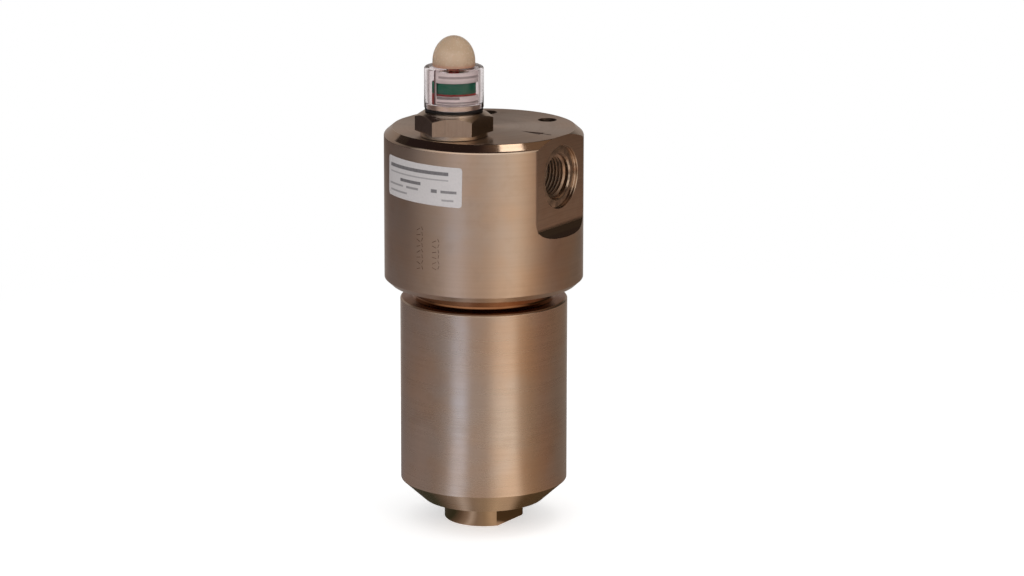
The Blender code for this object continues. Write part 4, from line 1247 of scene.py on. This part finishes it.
def mirror_card(name, profile, tones, through=False):
    """A ring of (radius, height) points that only metal and gloss mirror.

    The tones are (azimuth, red, green, blue); upright walls seen from above mirror the floor.
    A card that is seen through clear parts shows there and in no mirror.
    """
    finish = Finish(name)
    x, y, _ = finish.place()
    offset = (math.pi / 2 - VIEW_AZIMUTH) / (2 * math.pi) + 0.5
    share = y.angle_from(x) / (2 * math.pi) + offset
    share = share.sum("FRACT", share)
    stops = [
        ((azimuth + 180) / 360, tuple(value / CARD_STRENGTH for value in tone))
        for azimuth, *tone in tones
    ]
    glow = {"Color": finish.ramp(share, *stops), "Strength": CARD_STRENGTH}
    look = finish.surface(finish.node("ShaderNodeEmission", None, glow))
    card = placed(name, mesh_of(name, spun(profile, MEDIUM), [look]))
    card.visible_camera = False
    card.visible_diffuse = False
    card.visible_shadow = False
    card.visible_transmission = through
    card.visible_glossy = not through


CARD_STRENGTH = 1.25
BOWL_TONES = (
    (-180, 0.40, 0.36, 0.34), (-165, 0.50, 0.46, 0.44), (-150, 0.26, 0.23, 0.22),
    (-138, 0.24, 0.21, 0.21), (-88, 0.37, 0.31, 0.30), (-60, 0.33, 0.29, 0.29),
    (-46, 0.44, 0.42, 0.45), (-36, 0.82, 0.92, 1.16), (-27, 0.87, 0.97, 1.22),
    (-17, 0.49, 0.44, 0.43), (3, 0.51, 0.44, 0.41), (18, 1.06, 0.96, 0.87),
    (27, 1.20, 1.09, 0.99), (38, 1.18, 1.07, 0.96), (48, 0.56, 0.43, 0.33),
    (62, 0.43, 0.31, 0.22), (84, 0.35, 0.24, 0.185), (108, 0.27, 0.21, 0.175),
    (150, 0.26, 0.22, 0.19), (166, 0.45, 0.42, 0.40), (180, 0.40, 0.36, 0.34),
)
HEAD_TONES = (
    (-180, 0.40, 0.36, 0.33), (-165, 0.45, 0.42, 0.40), (-150, 0.28, 0.24, 0.23),
    (-136, 0.24, 0.20, 0.20), (-100, 0.26, 0.22, 0.22), (-80, 0.29, 0.25, 0.26),
    (-65, 0.38, 0.35, 0.37), (-46, 0.48, 0.46, 0.53), (-24, 0.43, 0.39, 0.48),
    (-10, 0.32, 0.21, 0.17), (6, 0.47, 0.35, 0.29), (22, 0.72, 0.55, 0.48),
    (44, 0.78, 0.49, 0.30), (60, 0.80, 0.50, 0.34), (82, 0.52, 0.36, 0.31),
    (112, 0.42, 0.30, 0.23), (150, 0.24, 0.19, 0.16), (166, 0.42, 0.38, 0.35),
    (180, 0.40, 0.36, 0.33),
)
INDICATOR_TONES = (
    (-180, 0.35, 0.30, 0.27), (-150, 0.10, 0.08, 0.07), (-140, 0.05, 0.04, 0.04),
    (-52, 0.06, 0.05, 0.05), (-34, 0.22, 0.19, 0.19), (-20, 0.40, 0.35, 0.33),
    (8, 0.44, 0.38, 0.35), (26, 0.62, 0.54, 0.45), (38, 0.98, 0.86, 0.70),
    (52, 0.80, 0.64, 0.48), (62, 0.08, 0.06, 0.05), (140, 0.05, 0.04, 0.03),
    (165, 0.30, 0.26, 0.24), (180, 0.35, 0.30, 0.27),
)
CLEAR_TONES = (
    (-180, 1.0, 1.0, 1.0), (-158, 1.0, 1.0, 1.0), (-138, 0.42, 0.37, 0.36),
    (-84, 0.28, 0.24, 0.23), (-62, 1.20, 1.17, 1.15), (62, 1.20, 1.17, 1.15),
    (84, 0.28, 0.24, 0.23), (138, 0.42, 0.37, 0.36), (158, 1.0, 1.0, 1.0),
    (180, 1.0, 1.0, 1.0),
)
FOOT_TONES = (
    (-180, 0.30, 0.26, 0.23), (-150, 0.08, 0.07, 0.06), (-70, 0.05, 0.05, 0.03),
    (-52, 0.16, 0.12, 0.09), (-36, 0.34, 0.28, 0.24), (-26, 0.62, 0.58, 0.56),
    (-14, 0.34, 0.28, 0.23), (2, 0.42, 0.34, 0.25), (16, 0.66, 0.54, 0.40),
    (34, 0.60, 0.48, 0.36), (48, 0.12, 0.08, 0.04), (150, 0.06, 0.04, 0.02),
    (180, 0.30, 0.26, 0.23),
)
WALL_TONES = (
    (-180, 0.40, 0.35, 0.32), (-135, 0.34, 0.30, 0.28), (-95, 0.14, 0.12, 0.11),
    (-70, 0.70, 0.66, 0.64), (-30, 1.15, 1.12, 1.12), (40, 1.18, 1.10, 1.00),
    (66, 0.60, 0.50, 0.42), (84, 0.05, 0.04, 0.03), (146, 0.06, 0.05, 0.04),
    (158, 0.34, 0.30, 0.27), (180, 0.40, 0.35, 0.32),
)
RIM_TONES = (
    (-180, 0.04, 0.03, 0.03), (-95, 0.05, 0.04, 0.03), (-70, 0.70, 0.66, 0.64),
    (-30, 1.15, 1.12, 1.12), (40, 1.18, 1.10, 1.00), (66, 0.60, 0.50, 0.42),
    (84, 0.05, 0.04, 0.03), (180, 0.04, 0.03, 0.03),
)
ROOF_TONES = (
    (-180, 0.03, 0.02, 0.02), (-60, 0.03, 0.02, 0.02), (50, 0.09, 0.06, 0.05),
    (100, 0.24, 0.16, 0.11), (128, 0.22, 0.15, 0.10), (144, 0.04, 0.03, 0.02),
    (180, 0.03, 0.02, 0.02),
)


def white_world():
    """Plain white to look at, and a little less as light."""
    surroundings = Finish("surroundings", bpy.data.worlds)
    bpy.context.scene.world = surroundings.owner
    seen = surroundings.looked_at()
    sockets = {"Value": seen, "To Min": 0.75, "To Max": 1.0}
    strength = surroundings.node("ShaderNodeMapRange", None, sockets)
    background = surroundings.tree.nodes["Background"].inputs
    background["Color"].default_value = (1, 1, 1, 1)
    surroundings.plug(background["Strength"], strength)


def pale_floor():
    """A pale floor that keeps the object's shadow and turns white further out."""
    finish = Finish("floor_paint")
    seen = finish.looked_at()
    x, y, _ = finish.place()
    far = (x * x + y * y).root().eased(0.16, 0.55)
    grain = finish.cloud(300, 2.0)
    paint = finish.mix(grain, (0.86, 0.86, 0.86), (0.84, 0.84, 0.84))
    base = finish.node("ShaderNodeBsdfDiffuse", None, {"Color": paint})
    lift = finish.node("ShaderNodeEmission", None, {"Strength": seen * 0.48})
    near = finish.node("ShaderNodeAddShader", None, {0: base, 1: lift})
    white = finish.node("ShaderNodeEmission", None, {"Strength": 1.0})
    look = finish.node("ShaderNodeMixShader", None, {0: far * seen, 1: near, 2: white})
    shape = bmesh.new()
    bmesh.ops.create_grid(shape, x_segments=1, y_segments=1, size=30)
    floor = placed("floor", mesh_of("floor", shape, [finish.surface(look)]))
    floor.location.z = -0.0002


def lamps():
    """Two soft lamps that light only what is not a mirror, and one above that shows in metal."""
    cool = softbox("cool_lamp", -29, 12, 1.3, 0.24, 1.1, 2.3, (0.93, 0.96, 1.0))
    warm = softbox("warm_lamp", 31, 14, 1.3, 0.22, 1.1, 3.0, (1.0, 0.93, 0.84))
    cool.visible_glossy = warm.visible_glossy = False
    softbox("top_lamp", 90, 74, 1.5, 0.34, 0.34, 2.2, (1.0, 0.94, 0.86))


def cards():
    """Rings on the floor for the upright metal, and walls and a roof for the rest."""
    level = 0.0001
    boss_edge, foot_edge, bowl_edge, head_edge, room = 0.0145, 0.063, 0.47, 0.80, 2.2
    wall_top, rim_top = 1.30, 1.90
    mirror_card("foot_card", ((boss_edge, level), (foot_edge, level)), FOOT_TONES)
    mirror_card("bowl_card", ((foot_edge, level), (bowl_edge, level)), BOWL_TONES)
    mirror_card("head_card", ((bowl_edge, level), (head_edge, level)), HEAD_TONES)
    mirror_card("indicator_card", ((head_edge, level), (room, level)), INDICATOR_TONES)
    mirror_card("wall_card", ((room, level), (room, wall_top)), WALL_TONES)
    mirror_card("rim_card", ((room, wall_top), (room, rim_top)), RIM_TONES)
    mirror_card("clear_card", ((0.6, level), (0.6, 0.6)), CLEAR_TONES, through=True)
    roof = ((room, rim_top), (1.6, 2.3), (0.8, 2.5), (0.01, 2.6))
    mirror_card("roof_card", roof, ROOF_TONES)


def camera():
    """The photo's view, fitted to the outline."""
    lens = bpy.data.cameras.new("camera")
    lens.sensor_width = 36
    lens.lens = 149.6
    lens.shift_x = 0.02753
    lens.shift_y = -0.00299
    lens.clip_start = 0.05
    lens.clip_end = 50
    obj = placed("camera", lens)
    facing(obj, AIM + towards(0, math.degrees(VIEW_ELEVATION)) * VIEW_DISTANCE)
    bpy.context.scene.camera = obj


white_world()
pale_floor()
lamps()
cards()
camera()
bpy.context.scene.view_settings.view_transform = "Standard"

bpy.context.view_layer.update()
